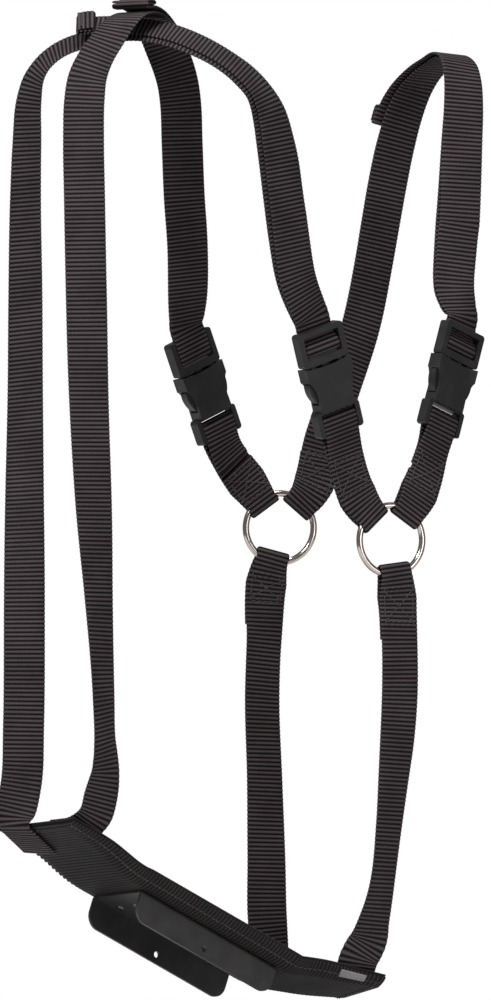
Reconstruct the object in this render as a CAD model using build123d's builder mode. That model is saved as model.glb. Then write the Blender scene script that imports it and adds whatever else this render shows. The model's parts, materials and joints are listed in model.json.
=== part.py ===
from build123d import *
from math import cos, pi, sin, sqrt
import os

# Marking harness.  Millimetres, +Z up, +Y into the depth of the harness, +X towards the girth strap.
# The origin is the point where the two front straps cross, which is where the harness hangs.

# Webbing
WEBBING_WIDTH = 25.0
WEBBING_THICKNESS = 1.7
LAYER_PITCH = 1.8            # distance between the middles of two layers of webbing that lie together
LAYER_HALF = LAYER_PITCH / 2
TURN_CLEARANCE = 0.15        # gap between a piece of webbing and the bar or wire it turns round
SECTION_SPACING = 9.0        # spacing of the cross-sections along a strap
TURN_STEPS = 6               # flats in a half turn round a bar or wire
RING_LOOP_WIDTH = 20.0       # webbing is bunched a little where it sits inside a ring
LOOP_STRAIGHT = 4.0          # the two layers of a loop stay apart until they are past the wire
LOOP_LENGTH = 26.0           # from a ring's wire to where the two layers meet
SEWN_END = 44.0              # how far the sewn-back layer reaches from a ring
END_GAP = 1.0                # gap between a strap's fixed run and its turned end at a buckle
HEM_LENGTH = 9.0
MIDDLE_TAIL = 262.0          # reach of each free tail, measured from the strap's end at its buckle
LEFT_TAIL = 232.0
RIGHT_TAIL = 244.0
TAIL_LOOSE_PART = 31.0       # the last part of a tail, which lifts off its strap
MIDDLE_TAIL_LIFT = 6.0
LEFT_TAIL_LIFT = 2.5
RIGHT_TAIL_LIFT = 0.5
MIDDLE_TAIL_SHIFT = -3.0     # how far to one side of its strap a tail lies
RIGHT_TAIL_SHIFT = -2.0

# Rings
RING_RADIUS = 21.0           # to the middle of the wire
WIRE_RADIUS = 2.0
RING_CHORD = 17.8            # from a ring's centre to the middle of a loop's turn round the wire

# Chest band
BAND_WIDTH = 70.0
BAND_FLAT = 48.0             # middle part of the band that stays flat
OUTER_THICKNESS = 2.0
LINING_THICKNESS = 1.2
BAND_GAP = 0.05
FOOT_LIFT = 0.7              # a strap's flat end stands off the curved band by this much
REAR_FOOT_LIFT = 0.8         # the right rear strap's end lies where the band bends, so it stands off further
FOOT_OUTER = OUTER_THICKNESS / 2 + FOOT_LIFT + WEBBING_THICKNESS / 2
FOOT_INNER = -(OUTER_THICKNESS / 2 + LINING_THICKNESS + BAND_GAP + FOOT_LIFT + WEBBING_THICKNESS / 2)

# Crayon holder
HOLDER_LENGTH = 114.0
HOLDER_WIDTH = 46.0
HOLDER_HEIGHT = 19.0
SHEET = 1.6
HOLDER_BEND = 2.4            # outside radius of the two bends
HOLDER_CORNER = 9.0          # rounding of the flanges' free corners
PIN_HOLE_RADIUS = 2.0
PIN_HEIGHT = 13.5            # from the back of the web to the pin hole
RIVET_RADIUS = 1.4
RIVET_HEAD_RADIUS = 2.4
RIVET_HEAD_HEIGHT = 0.8
WASHER_RADIUS = 4.5
WASHER_THICKNESS = 0.6
RIVET_SPACING = 15.0         # across the holder
RIVET_ROW = 41.0             # from the middle of the holder to a row of rivets
RIVET_TAIL_RADIUS = 2.3      # the end spread over the washer
RIVET_TAIL_HEIGHT = 0.6
RIVET_GAP = 0.02             # between a rivet and the sheet or washer it clamps
RIVET_HOLE_GAP = 0.05        # round a rivet's shank

# Size label sewn to the band's near rim, with nothing on it
LABEL_START = 236.0          # distance along the band
LABEL_LENGTH = 18.0
LABEL_WIDTH = 5.0
LABEL_THICKNESS = 0.5
LABEL_INSET = 0.5            # from the band's edge
LABEL_LIFT = 0.1

# Buckles, measured along the buckle from its middle: + is towards the clip's end
BUCKLE_WIDTH = 34.0
BUCKLE_THICKNESS = 9.5
BUCKLE_TOP = 33.0
BUCKLE_BOTTOM = -33.0
MOUTH = 11.2                 # where the socket's mouth is
CLIP_BASE_TOP = 16.0
CLIP_JOINT_GAP = 0.3
MIDDLE_BAR_LOW = 19.2
MIDDLE_BAR_HIGH = 22.8
END_BAR_LOW = 29.6
RAIL_WIDTH = 3.8
BAR_HALF = 1.4               # half the thickness of a bar that webbing turns round
CLIP_HALF = 3.4              # half the thickness of the clip's frame
END_BAR_UNDERSIDE = -0.6
TONGUE_END = -9.0
TONGUE_WIDTH = 5.0
TONGUE_HALF = 1.2
PLATE = 1.7                  # thickness of the socket's two faces
WINDOW_TOP = 2.0             # the side windows that the prongs press out through
WINDOW_BOTTOM = -12.4
WINDOW_MIDDLE = -4.5         # where the waist's curve passes, half a millimetre out
SHOULDER = 1.0               # the chamfer above each window
MOUTH_DIP = 1.6              # how far the mouth's edge curves in
WAIST_WIDTH = 25.5           # width of the socket's faces between the windows
POST_WIDTH = 2.6
NECK_BOTTOM = -17.6
SOCKET_FRAME_WIDTH = 32.5
SOCKET_BAR_TOP = -22.3       # the bar that the tab turns round
SOCKET_BAR_LOW = -25.1
SOCKET_BAR_Y = (SOCKET_BAR_LOW + SOCKET_BAR_TOP) / 2
TIE_BAR_TOP = -30.6          # the thin bar that joins the frame's legs, inside the tab
TIE_BAR_HALF = 0.9
PRONG_INNER = 8.9
PRONG_ARM = 2.6
PRONG_HEAD_OUT = 16.6
PRONG_TIP = -11.8
PRONG_HALF = 2.6
PRONG_BARB = 1.6             # the barb's flat, just below the shoulder it catches on
PRONG_BULGE = -6.4           # where the head's curve is widest
FRAME_CORNER = 2.0           # rounding of the clip's and socket's outlines
SLOT_CORNER = 0.6
TONGUE_CORNER = 0.8
STRAP_END_LENGTH = 64.0      # turned strap end that gives when the clip is drawn out

WIRE_SPREAD = WIRE_RADIUS + TURN_CLEARANCE + WEBBING_THICKNESS / 2
BAR_CORNER = BAR_HALF * sqrt(2)
BAR_SPREAD = BAR_CORNER + TURN_CLEARANCE + WEBBING_THICKNESS / 2


# ---------------------------------------------------------------- strap routes

def smooth_samples(values, gaps, spacing):
    """Evenly spaced samples of a curve that passes smoothly through values set the given gaps apart."""
    slopes = [(values[1] - values[0]) * (1 / gaps[0])]
    for i in range(1, len(gaps)):
        back, ahead = gaps[i - 1], gaps[i]
        both = back + ahead
        slope_back = (values[i] - values[i - 1]) * (ahead / (back * both))
        slope_ahead = (values[i + 1] - values[i]) * (back / (ahead * both))
        slopes.append(slope_back + slope_ahead)
    slopes.append((values[-1] - values[-2]) * (1 / gaps[-1]))
    samples = []
    for i, gap in enumerate(gaps):
        steps = max(1, round(gap / spacing))
        for step in range(steps):
            t = step / steps
            start = values[i] * (2 * t**3 - 3 * t**2 + 1) + slopes[i] * (gap * (t**3 - 2 * t**2 + t))
            end = values[i + 1] * (3 * t**2 - 2 * t**3) + slopes[i + 1] * (gap * (t**3 - t**2))
            samples.append(start + end)
    samples.append(values[-1])
    return samples


def route(stations, spacing=SECTION_SPACING):
    """Frames (point, across, outward) along a strap given as rows of position and outward direction."""
    points = [Vector(*row[:3]) for row in stations]
    outwards = [Vector(*row[3:]).normalized() for row in stations]
    gaps = [(after - before).length for before, after in zip(points, points[1:])]
    samples = smooth_samples(points, gaps, spacing)
    faces = smooth_samples(outwards, gaps, spacing)
    frames = []
    for i, point in enumerate(samples):
        along = samples[min(i + 1, len(samples) - 1)] - samples[max(i - 1, 0)]
        across = along.cross(faces[i]).normalized()
        frames.append((point, across, across.cross(along).normalized()))
    return frames


def distances(frames):
    """Distance of each frame from the first, measured along the route."""
    total = 0.0
    result = [0.0]
    for before, after in zip(frames, frames[1:]):
        total += (after[0] - before[0]).length
        result.append(total)
    return result


def ramp(distance, start, end, low, high):
    """Value that goes evenly from low at the start distance to high at the end distance."""
    share = min(1.0, max(0.0, (distance - start) / (end - start)))
    return low + (high - low) * share


def layer(frames, offset=LAYER_PITCH, shift=0.0):
    """The path of a layer of webbing lying outward of a route by offset, and to one side by shift."""
    return [(point + outward * offset + across * shift, across) for point, across, outward in frames]


def free_tail(frames, lift, shift_start, shift_end):
    """Path of a tail lying on its strap that lifts off over the last part and drifts to one side."""
    runs = distances(frames)
    lift_start = runs[-1] - TAIL_LOOSE_PART
    path = []
    for (point, across, outward), run in zip(frames, runs):
        offset = ramp(run, lift_start, runs[-1], LAYER_PITCH, LAYER_PITCH + lift)
        shift = ramp(run, 0, runs[-1], shift_start, shift_end)
        path.append((point + outward * offset + across * shift, across))
    return path


def frame_at(frames, distance):
    """The frame at a distance along a route."""
    runs = distances(frames)
    index = max(i for i in range(len(runs) - 1) if runs[i] <= distance)
    share = (distance - runs[index]) / (runs[index + 1] - runs[index])
    before, after = frames[index], frames[index + 1]
    return tuple(low + (high - low) * share for low, high in zip(before, after))


def part_of(frames, start, end):
    """The frames between two distances along a route, with a frame at each of them."""
    between = [frame for frame, run in zip(frames, distances(frames)) if start + 1 < run < end - 1]
    first = [frame_at(frames, start)] if start > 0 else [frames[0]]
    return first + between + [frame_at(frames, end)]


def half_turn(centre, across, outward, radius, onward):
    """Path round a bar: from the outward side, past the onward side, to the inward side."""
    path = []
    for step in range(1, TURN_STEPS):
        angle = pi * step / TURN_STEPS
        path.append((centre + outward * (radius * cos(angle)) + onward * (radius * sin(angle)), across))
    return path


def spread_at(distance, end_spread):
    """Half the distance between a loop's two layers, this far from the bar or wire in the loop."""
    share = min(1.0, max(0.0, distance - LOOP_STRAIGHT) / (LOOP_LENGTH - LOOP_STRAIGHT))
    ease = (1 - share) ** 2 * (1 + 2 * share)
    return LAYER_HALF + (end_spread - LAYER_HALF) * ease


def webbing(path, width=WEBBING_WIDTH, end_width=None, thickness=WEBBING_THICKNESS):
    """Solid webbing along a path; end_width, if given, is the width near the path's ring end."""
    with BuildPart() as strap:
        for i, (point, across) in enumerate(path):
            along = (path[min(i + 1, len(path) - 1)][0] - path[max(i - 1, 0)][0]).normalized()
            sideways = (across - along * across.dot(along)).normalized()
            here = width if end_width is None else end_width(point)
            with BuildSketch(Plane(origin=point, x_dir=sideways, z_dir=along)):
                Rectangle(here, thickness)
        loft(ruled=True)
    return strap.part


def width_near_ring(centre):
    """Width of webbing that is bunched into a ring at the given centre and spreads out away from it."""
    def width_at(point):
        share = min(1.0, max(0.0, ((point - centre).length - RING_RADIUS) / 14.0))
        return RING_LOOP_WIDTH + (WEBBING_WIDTH - RING_LOOP_WIDTH) * share
    return width_at


def ring_end(frames, side=-1):
    """Path that comes back from a sewn end, turns round the ring's wire and runs on along the route.

    side is -1 when the sewn-back layer lies inward of the strap and +1 when it lies outward.
    """
    runs = distances(frames)
    spread = [spread_at(run, WIRE_SPREAD) for run in runs]
    back = [
        (point + outward * (side * wide), across)
        for (point, across, outward), wide, run in zip(frames, spread, runs)
        if run <= SEWN_END
    ]
    front = [
        (point - outward * (side * wide), across)
        for (point, across, outward), wide in zip(frames, spread)
    ]
    point, across, outward = frames[0]
    onward = (point - frames[1][0]).normalized()
    turn = half_turn(point, across, outward * side, WIRE_SPREAD, onward)
    return back[::-1] + turn + front


def tab_path(frames):
    """Path of a webbing loop round a ring's wire at one end and a buckle's bar at the other."""
    runs = distances(frames)
    spread = [
        spread_at(run, WIRE_SPREAD) + spread_at(runs[-1] - run, BAR_SPREAD) - LAYER_HALF for run in runs
    ]
    front = [(point + outward * wide, across) for (point, across, outward), wide in zip(frames, spread)]
    back = [(point - outward * wide, across) for (point, across, outward), wide in zip(frames, spread)]
    ring_side = (frames[0][0] - frames[1][0]).normalized()
    bar_side = (frames[-1][0] - frames[-2][0]).normalized()
    ring_turn = half_turn(frames[0][0], frames[0][1], frames[0][2] * -1, spread[0], ring_side)
    bar_turn = half_turn(frames[-1][0], frames[-1][1], frames[-1][2], spread[-1], bar_side)
    lap = len(frames) // 2
    return back[:lap][::-1] + ring_turn + front + bar_turn + back[lap:][::-1]


def hem(path, outward):
    """Path with the last few millimetres folded over twice on the outward side."""
    (before, _), (last, across) = path[-2], path[-1]
    along = (last - before).normalized()
    level_1 = last + outward * LAYER_PITCH
    level_2 = last + outward * (2 * LAYER_PITCH)
    far_back = level_1 - along * HEM_LENGTH
    turn_1 = half_turn(last + outward * LAYER_HALF, across, outward * -1, LAYER_HALF, along)
    turn_2 = half_turn(far_back + outward * LAYER_HALF, across, outward * -1, LAYER_HALF, along * -1)
    rest = [(level_1, across), (far_back, across)] + turn_2
    rest += [(far_back + outward * LAYER_PITCH, across), (level_2, across)]
    return path + turn_1 + rest


# ---------------------------------------------------------------- buckles

def buckle_plane(centre, towards_clip, outward):
    """Plane with X across a buckle, Y towards its clip and Z out of its outer face."""
    up = Vector(*towards_clip).normalized()
    face = Vector(*outward)
    face = (face - up * face.dot(up)).normalized()
    return Plane(origin=centre, x_dir=up.cross(face), z_dir=face)


def local_block(plane, x_low, x_high, y_low, y_high, z_low, z_high, corner=0.0):
    """Block in a buckle's own plane, added to or cut from the part being built."""
    with BuildSketch(plane.offset(z_low)) as outline:
        with Locations(((x_low + x_high) / 2, (y_low + y_high) / 2)):
            if corner:
                RectangleRounded(x_high - x_low, y_high - y_low, corner)
            else:
                Rectangle(x_high - x_low, y_high - y_low)
    return outline.sketch, z_high - z_low


def add_block(plane, x_range, y_range, z_range, corner=0.0, mode=Mode.ADD):
    """Extrude a block given by its ranges across, along and through the buckle."""
    outline, height = local_block(plane, *x_range, *y_range, *z_range, corner)
    extrude(outline, amount=height, dir=plane.z_dir, mode=mode)


def clip_solid(plane):
    """Clip: ladder-lock frame, base and the tongue that guides it into the socket."""
    half = BUCKLE_WIDTH / 2
    with BuildPart() as clip:
        through = (-CLIP_HALF, CLIP_HALF)
        add_block(plane, (-half, half), (MOUTH + CLIP_JOINT_GAP, BUCKLE_TOP), through, FRAME_CORNER)
        slot = half - RAIL_WIDTH
        add_block(plane, (-slot, slot), (CLIP_BASE_TOP, END_BAR_LOW), through, SLOT_CORNER, Mode.SUBTRACT)
        under = (-CLIP_HALF, END_BAR_UNDERSIDE)
        add_block(plane, (-slot, slot), (END_BAR_LOW - 1, BUCKLE_TOP), under, mode=Mode.SUBTRACT)
        bar = (MIDDLE_BAR_LOW, MIDDLE_BAR_HIGH)
        add_block(plane, (-slot - 0.5, slot + 0.5), bar, (-BAR_HALF, BAR_HALF))
        half_tongue = TONGUE_WIDTH / 2
        tongue = (TONGUE_END, CLIP_BASE_TOP - 2)
        add_block(plane, (-half_tongue, half_tongue), tongue, (-TONGUE_HALF, TONGUE_HALF), TONGUE_CORNER)
    return clip.part


def prong_solid(plane, side):
    """Sprung prong with its barbed head; side is +1 or -1."""
    root = MOUTH + CLIP_JOINT_GAP - 0.1
    arm_out = PRONG_INNER + PRONG_ARM
    with BuildPart() as prong:
        with BuildSketch(plane.offset(-PRONG_HALF)):
            with BuildLine():
                Polyline(
                    (side * arm_out, PRONG_BARB),
                    (side * arm_out, root),
                    (side * PRONG_INNER, root),
                    (side * PRONG_INNER, PRONG_TIP + 2.5),
                    (side * (PRONG_INNER + 1.6), PRONG_TIP),
                    (side * (arm_out + 0.6), PRONG_TIP),
                )
                ThreePointArc(
                    (side * (arm_out + 0.6), PRONG_TIP),
                    (side * (PRONG_HEAD_OUT - 0.9), PRONG_BULGE),
                    (side * PRONG_HEAD_OUT, PRONG_BARB),
                )
                Line((side * PRONG_HEAD_OUT, PRONG_BARB), (side * arm_out, PRONG_BARB))
            make_face()
        extrude(amount=2 * PRONG_HALF)
    return prong.part


def socket_solid(plane):
    """Socket: two faces joined by posts at the mouth and a neck, and a frame with two bars in the tab."""
    half = BUCKLE_WIDTH / 2
    half_thick = BUCKLE_THICKNESS / 2
    inside = half_thick - PLATE
    waist = WAIST_WIDTH / 2
    shoulder = half - SHOULDER
    frame = SOCKET_FRAME_WIDTH / 2
    with BuildPart() as socket:
        with BuildSketch(plane.offset(-half_thick)):
            with BuildLine():
                Polyline((waist, NECK_BOTTOM), (-waist, NECK_BOTTOM), (-waist, WINDOW_BOTTOM))
                ThreePointArc((-waist, WINDOW_BOTTOM), (-waist - 0.5, WINDOW_MIDDLE), (-shoulder, WINDOW_TOP))
                Polyline((-shoulder, WINDOW_TOP), (-half, WINDOW_TOP + SHOULDER), (-half, MOUTH))
                ThreePointArc((-half, MOUTH), (0, MOUTH - MOUTH_DIP), (half, MOUTH))
                Polyline((half, MOUTH), (half, WINDOW_TOP + SHOULDER), (shoulder, WINDOW_TOP))
                ThreePointArc((shoulder, WINDOW_TOP), (waist + 0.5, WINDOW_MIDDLE), (waist, WINDOW_BOTTOM))
                Line((waist, WINDOW_BOTTOM), (waist, NECK_BOTTOM))
            make_face()
        extrude(amount=BUCKLE_THICKNESS)
        post = half - POST_WIDTH
        add_block(plane, (-post, post), (WINDOW_BOTTOM, MOUTH + 1), (-inside, inside), mode=Mode.SUBTRACT)
        windows = (WINDOW_BOTTOM, WINDOW_TOP)
        add_block(plane, (-half - 1, half + 1), windows, (-inside, inside), mode=Mode.SUBTRACT)
        bottom = (BUCKLE_BOTTOM, NECK_BOTTOM + 0.6)
        add_block(plane, (-frame, frame), bottom, (-CLIP_HALF, CLIP_HALF), FRAME_CORNER)
        slot = frame - CLIP_HALF
        opening = (TIE_BAR_TOP, NECK_BOTTOM - 1)
        through = (-BUCKLE_THICKNESS, BUCKLE_THICKNESS)
        add_block(plane, (-slot, slot), opening, through, SLOT_CORNER, Mode.SUBTRACT)
        tie = (BUCKLE_BOTTOM - 1, TIE_BAR_TOP + 1)
        for low, high in ((-CLIP_HALF, -TIE_BAR_HALF), (TIE_BAR_HALF, CLIP_HALF)):
            add_block(plane, (-slot, slot), tie, (low, high), mode=Mode.SUBTRACT)
        bar = (SOCKET_BAR_LOW, SOCKET_BAR_TOP)
        add_block(plane, (-slot - 0.5, slot + 0.5), bar, (-BAR_HALF, BAR_HALF))
    return socket.part


def adjuster_turn(plane):
    """Path of webbing under the middle bar, round it and back under the end bar."""
    outer_layer = END_BAR_UNDERSIDE - TURN_CLEARANCE - WEBBING_THICKNESS / 2
    inner_layer = outer_layer - LAYER_PITCH
    low = MIDDLE_BAR_LOW + BAR_HALF
    high = MIDDLE_BAR_HIGH - BAR_HALF
    points = [(BUCKLE_TOP + 3, inner_layer), (MIDDLE_BAR_HIGH + 3, inner_layer)]
    for step in range(TURN_STEPS + 1):
        angle = pi * step / TURN_STEPS
        points.append((low - BAR_SPREAD * sin(angle), -BAR_SPREAD * cos(angle)))
    points.append((high, BAR_SPREAD))
    points.append((high + BAR_SPREAD * sin(pi / 4), BAR_SPREAD * cos(pi / 4)))
    points.append((END_BAR_LOW - 1.0, outer_layer))
    points.append((BUCKLE_TOP + 3, outer_layer))
    across = plane.x_dir * -1
    return [(plane.from_local_coords(Vector(0, y, z)), across) for y, z in points]


def strap_into(plane):
    """Station where a strap enters a buckle's adjuster."""
    inner_layer = END_BAR_UNDERSIDE - TURN_CLEARANCE - WEBBING_THICKNESS / 2 - LAYER_PITCH
    point = plane.from_local_coords(Vector(0, BUCKLE_TOP + 5, inner_layer))
    return (*point, *plane.z_dir)


def turned_end(frames, plane, shift):
    """Path of a strap's last part: down to the adjuster, round its bar and back up as the tail.

    shift is how far to one side the tail lies by the time it leaves this part.
    """
    length = distances(frames)[-1]
    last = part_of(frames, length - STRAP_END_LENGTH, length - 0.01)
    back = []
    for (point, across, outward), run in zip(last, distances(last)):
        sideways = ramp(run, 0, STRAP_END_LENGTH, shift, 0)
        back.append((point + outward * LAYER_PITCH + across * sideways, across))
    return layer(last, 0.0) + adjuster_turn(plane) + back[::-1]


# ---------------------------------------------------------------- rings

def ring_plane(centre, turned):
    """Plane of a ring whose face is turned about the vertical by an angle in degrees."""
    angle = turned * pi / 180
    return Plane(origin=centre, x_dir=(cos(angle), sin(angle), 0), z_dir=(sin(angle), -cos(angle), 0))


def ring_solid(plane):
    """Welded wire ring."""
    with BuildPart() as ring:
        wire_centre = plane.origin + plane.x_dir * RING_RADIUS
        with BuildSketch(Plane(origin=wire_centre, x_dir=plane.x_dir, z_dir=plane.y_dir)):
            Circle(WIRE_RADIUS)
        revolve(axis=Axis(plane.origin, plane.z_dir), revolution_arc=360)
    return ring.part


def off_ring(plane, degrees, distance=0.0, outward=1):
    """Station on a strap that leaves a ring at an angle in its plane, this far beyond the loop's turn."""
    angle = degrees * pi / 180
    reach = RING_CHORD + distance
    point = plane.from_local_coords(Vector(reach * cos(angle), reach * sin(angle), 0))
    return (*point, *(plane.z_dir * outward))


def tab_frames(ring, degrees, buckle, outward):
    """Route of the webbing loop from a ring to the bar of a buckle's socket."""
    stations = [off_ring(ring, degrees, 0.0, outward), off_ring(ring, degrees, 9.0, outward)]
    for y in (SOCKET_BAR_Y - 12.0, SOCKET_BAR_Y - 6.0, SOCKET_BAR_Y):
        stations.append((*buckle.from_local_coords(Vector(0, y, 0)), *buckle.z_dir))
    return route(stations, 4.0)


# ---------------------------------------------------------------- chest band

BAND_ALONG = Vector(0.715, 0.558, -0.424).normalized()     # the way the holder and the flat part point
BAND_OUT = Vector(-0.268, -0.341, -0.900)                  # out of the band's outer face
BAND_MIDDLE = Vector(32.7, 25.9, -551.2)                   # middle of the band's straight part
BAND_STRAIGHT = 58.0                                       # half the length of the straight part

out_rows = (BAND_OUT.X, BAND_OUT.Y, BAND_OUT.Z)
straight_stations = [
    (*(BAND_MIDDLE + BAND_ALONG * distance), *out_rows)
    for distance in (-BAND_STRAIGHT - 8, -BAND_STRAIGHT, 0, BAND_STRAIGHT, BAND_STRAIGHT + 8)
]
band_stations = [
    (-57.9, -45.0, -487.0, *out_rows),
    (-37.0, -28.5, -502.5, *out_rows),
    *straight_stations,
    (105.0, 77.0, -585.0, -0.15, -0.30, -0.94),
    (139.1, 92.0, -590.0, -0.08, -0.20, -0.98),
]
band_frames = route(band_stations, 7.0)
band_length = distances(band_frames)[-1]


def curl(distance, sideways):
    """How far the band's edges rise inward at a distance along it and a distance from its middle."""
    height = ramp(distance, 0, 70, 0.8, 7.0) - ramp(distance, band_length - 60, band_length, 0, 3.0)
    share = max(0.0, (abs(sideways) - BAND_FLAT / 2) / (BAND_WIDTH / 2 - BAND_FLAT / 2))
    return height * share**1.5


def on_band(distance, sideways, outward):
    """Point at a distance along the band, across it (+ is the far side) and out from its outer layer."""
    point, across, face = frame_at(band_frames, max(0.0, distance))
    along = face.cross(across).normalized()
    beyond = min(0.0, distance)
    return point + along * beyond + across * sideways + face * (outward - curl(distance, sideways))


def lying(distance, sideways, outward, side=1):
    """Station on a strap that lies on the band; side is +1 if its outer face looks out of the band."""
    return (*on_band(distance, sideways, outward), *(frame_at(band_frames, distance)[2] * side))


def over_edge(distance, side, lift):
    """Station on a strap that crosses the band's rim; side is +1 at the far rim and -1 at the near rim."""
    across = frame_at(band_frames, distance)[1]
    return (*on_band(distance, side * BAND_WIDTH / 2, FOOT_INNER - lift), *(across * -1))


def band_layer(middle, thickness):
    """One layer of the chest band; middle is how far inward its mid-surface lies."""
    half = BAND_WIDTH / 2
    edges = [-half, -half + 5, -BAND_FLAT / 2, BAND_FLAT / 2, half - 5, half]
    with BuildPart() as band:
        for (point, across, outward), distance in zip(band_frames, distances(band_frames)):
            low = [(x, middle - thickness / 2 + curl(distance, x)) for x in edges]
            high = [(x, middle + thickness / 2 + curl(distance, x)) for x in edges]
            with BuildSketch(Plane(origin=point, x_dir=across, z_dir=across.cross(outward) * -1)):
                with BuildLine():
                    Polyline(*low, *high[::-1], close=True)
                make_face()
        loft(ruled=True)
        with BuildSketch(holder_plane.offset(-20)):
            with Locations(*rivet_places):
                Circle(RIVET_RADIUS + RIVET_HOLE_GAP)
        extrude(amount=40, mode=Mode.SUBTRACT)
    return band.part


# ---------------------------------------------------------------- crayon holder

holder_origin = BAND_MIDDLE + BAND_OUT * (OUTER_THICKNESS / 2 + BAND_GAP)
holder_plane = Plane(origin=holder_origin, x_dir=BAND_ALONG, z_dir=BAND_OUT)
rivet_places = [
    (x, y) for x in (-RIVET_ROW, RIVET_ROW) for y in (-RIVET_SPACING, 0.0, RIVET_SPACING)
]


def holder_solid():
    """Channel bent from sheet: a web that lies on the band and two flanges with a pin hole."""
    half = HOLDER_WIDTH / 2
    side_plane = Plane(origin=holder_plane.origin, x_dir=BAND_ALONG, z_dir=holder_plane.y_dir * -1)
    with BuildPart() as holder:
        with BuildSketch(Plane(origin=holder_plane.origin, x_dir=holder_plane.y_dir, z_dir=BAND_ALONG)):
            with Locations((0, HOLDER_HEIGHT / 2)):
                Rectangle(HOLDER_WIDTH, HOLDER_HEIGHT)
            with Locations((0, SHEET + HOLDER_HEIGHT / 2)):
                Rectangle(HOLDER_WIDTH - 2 * SHEET, HOLDER_HEIGHT, mode=Mode.SUBTRACT)
        extrude(amount=HOLDER_LENGTH / 2, both=True)
        along_edges = holder.edges().filter_by(Axis(holder_plane.origin, BAND_ALONG))
        bends = [edge for edge in along_edges if holder_plane.to_local_coords(edge.center()).Z < SHEET + 0.1]
        outer = [edge for edge in bends if abs(holder_plane.to_local_coords(edge.center()).Y) > half - 0.1]
        fillet(outer, HOLDER_BEND)
        with BuildSketch(side_plane):
            RectangleRounded(HOLDER_LENGTH, 2 * HOLDER_HEIGHT, HOLDER_CORNER)
        extrude(amount=half + 1, both=True, mode=Mode.INTERSECT)
        with BuildSketch(side_plane):
            with Locations((0, PIN_HEIGHT)):
                Circle(PIN_HOLE_RADIUS)
        extrude(amount=half + 1, both=True, mode=Mode.SUBTRACT)
        with BuildSketch(holder_plane.offset(-1)):
            with Locations(*rivet_places):
                Circle(RIVET_RADIUS + RIVET_HOLE_GAP)
        extrude(amount=SHEET + 2, mode=Mode.SUBTRACT)
    return holder.part


def rivet_solids():
    """Rivets: a domed head inside the channel, a shank through the band and an end spread over a washer."""
    head_at = SHEET + RIVET_GAP
    inner_face = -(OUTER_THICKNESS + LINING_THICKNESS + 3 * BAND_GAP)
    washer_end = inner_face - WASHER_THICKNESS
    tail_end = washer_end - RIVET_GAP - RIVET_TAIL_HEIGHT
    with BuildPart() as rivets:
        with BuildSketch(holder_plane.offset(head_at)):
            with Locations(*rivet_places):
                Circle(RIVET_HEAD_RADIUS)
        extrude(amount=RIVET_HEAD_HEIGHT, taper=35)
        with BuildSketch(holder_plane.offset(tail_end)):
            with Locations(*rivet_places):
                Circle(RIVET_RADIUS)
        extrude(amount=head_at + RIVET_HEAD_HEIGHT / 10 - tail_end)
        with BuildSketch(holder_plane.offset(tail_end)):
            with Locations(*rivet_places):
                Circle(RIVET_TAIL_RADIUS)
        extrude(amount=RIVET_TAIL_HEIGHT)
    with BuildPart() as washers:
        with BuildSketch(holder_plane.offset(washer_end)):
            with Locations(*rivet_places):
                Circle(WASHER_RADIUS)
                Circle(RIVET_RADIUS + 2 * RIVET_HOLE_GAP, mode=Mode.SUBTRACT)
        extrude(amount=WASHER_THICKNESS)
    return rivets.part, washers.part


# ---------------------------------------------------------------- rings and buckles in place

left_ring_plane = ring_plane((89.7, 132.0, -307.9), 10)
right_ring_plane = ring_plane((157.0, 52.0, -315.2), 25)

buckles = {
    "left": buckle_plane((43.0, 110.0, -221.8), (-0.31, -0.20, 0.93), (-0.656, 0.755, 0)),
    "middle": buckle_plane((118.8, 24.0, -218.2), (-0.22, -0.22, 0.955), (0.57, -0.82, 0)),
    "right": buckle_plane((193.3, 80.0, -217.6), (0.24, 0.21, 0.95), (0.73, -0.68, 0)),
}

tabs = {
    "left": tab_frames(left_ring_plane, 126, buckles["left"], -1),
    "middle": tab_frames(right_ring_plane, 132, buckles["middle"], 1),
    "right": tab_frames(right_ring_plane, 56, buckles["right"], 1),
}


# ---------------------------------------------------------------- long straps
# Each row is a point on the strap's middle line and the direction its outer face looks.

FRONT_FACE = (-0.50, -0.85, 0.15)

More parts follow.
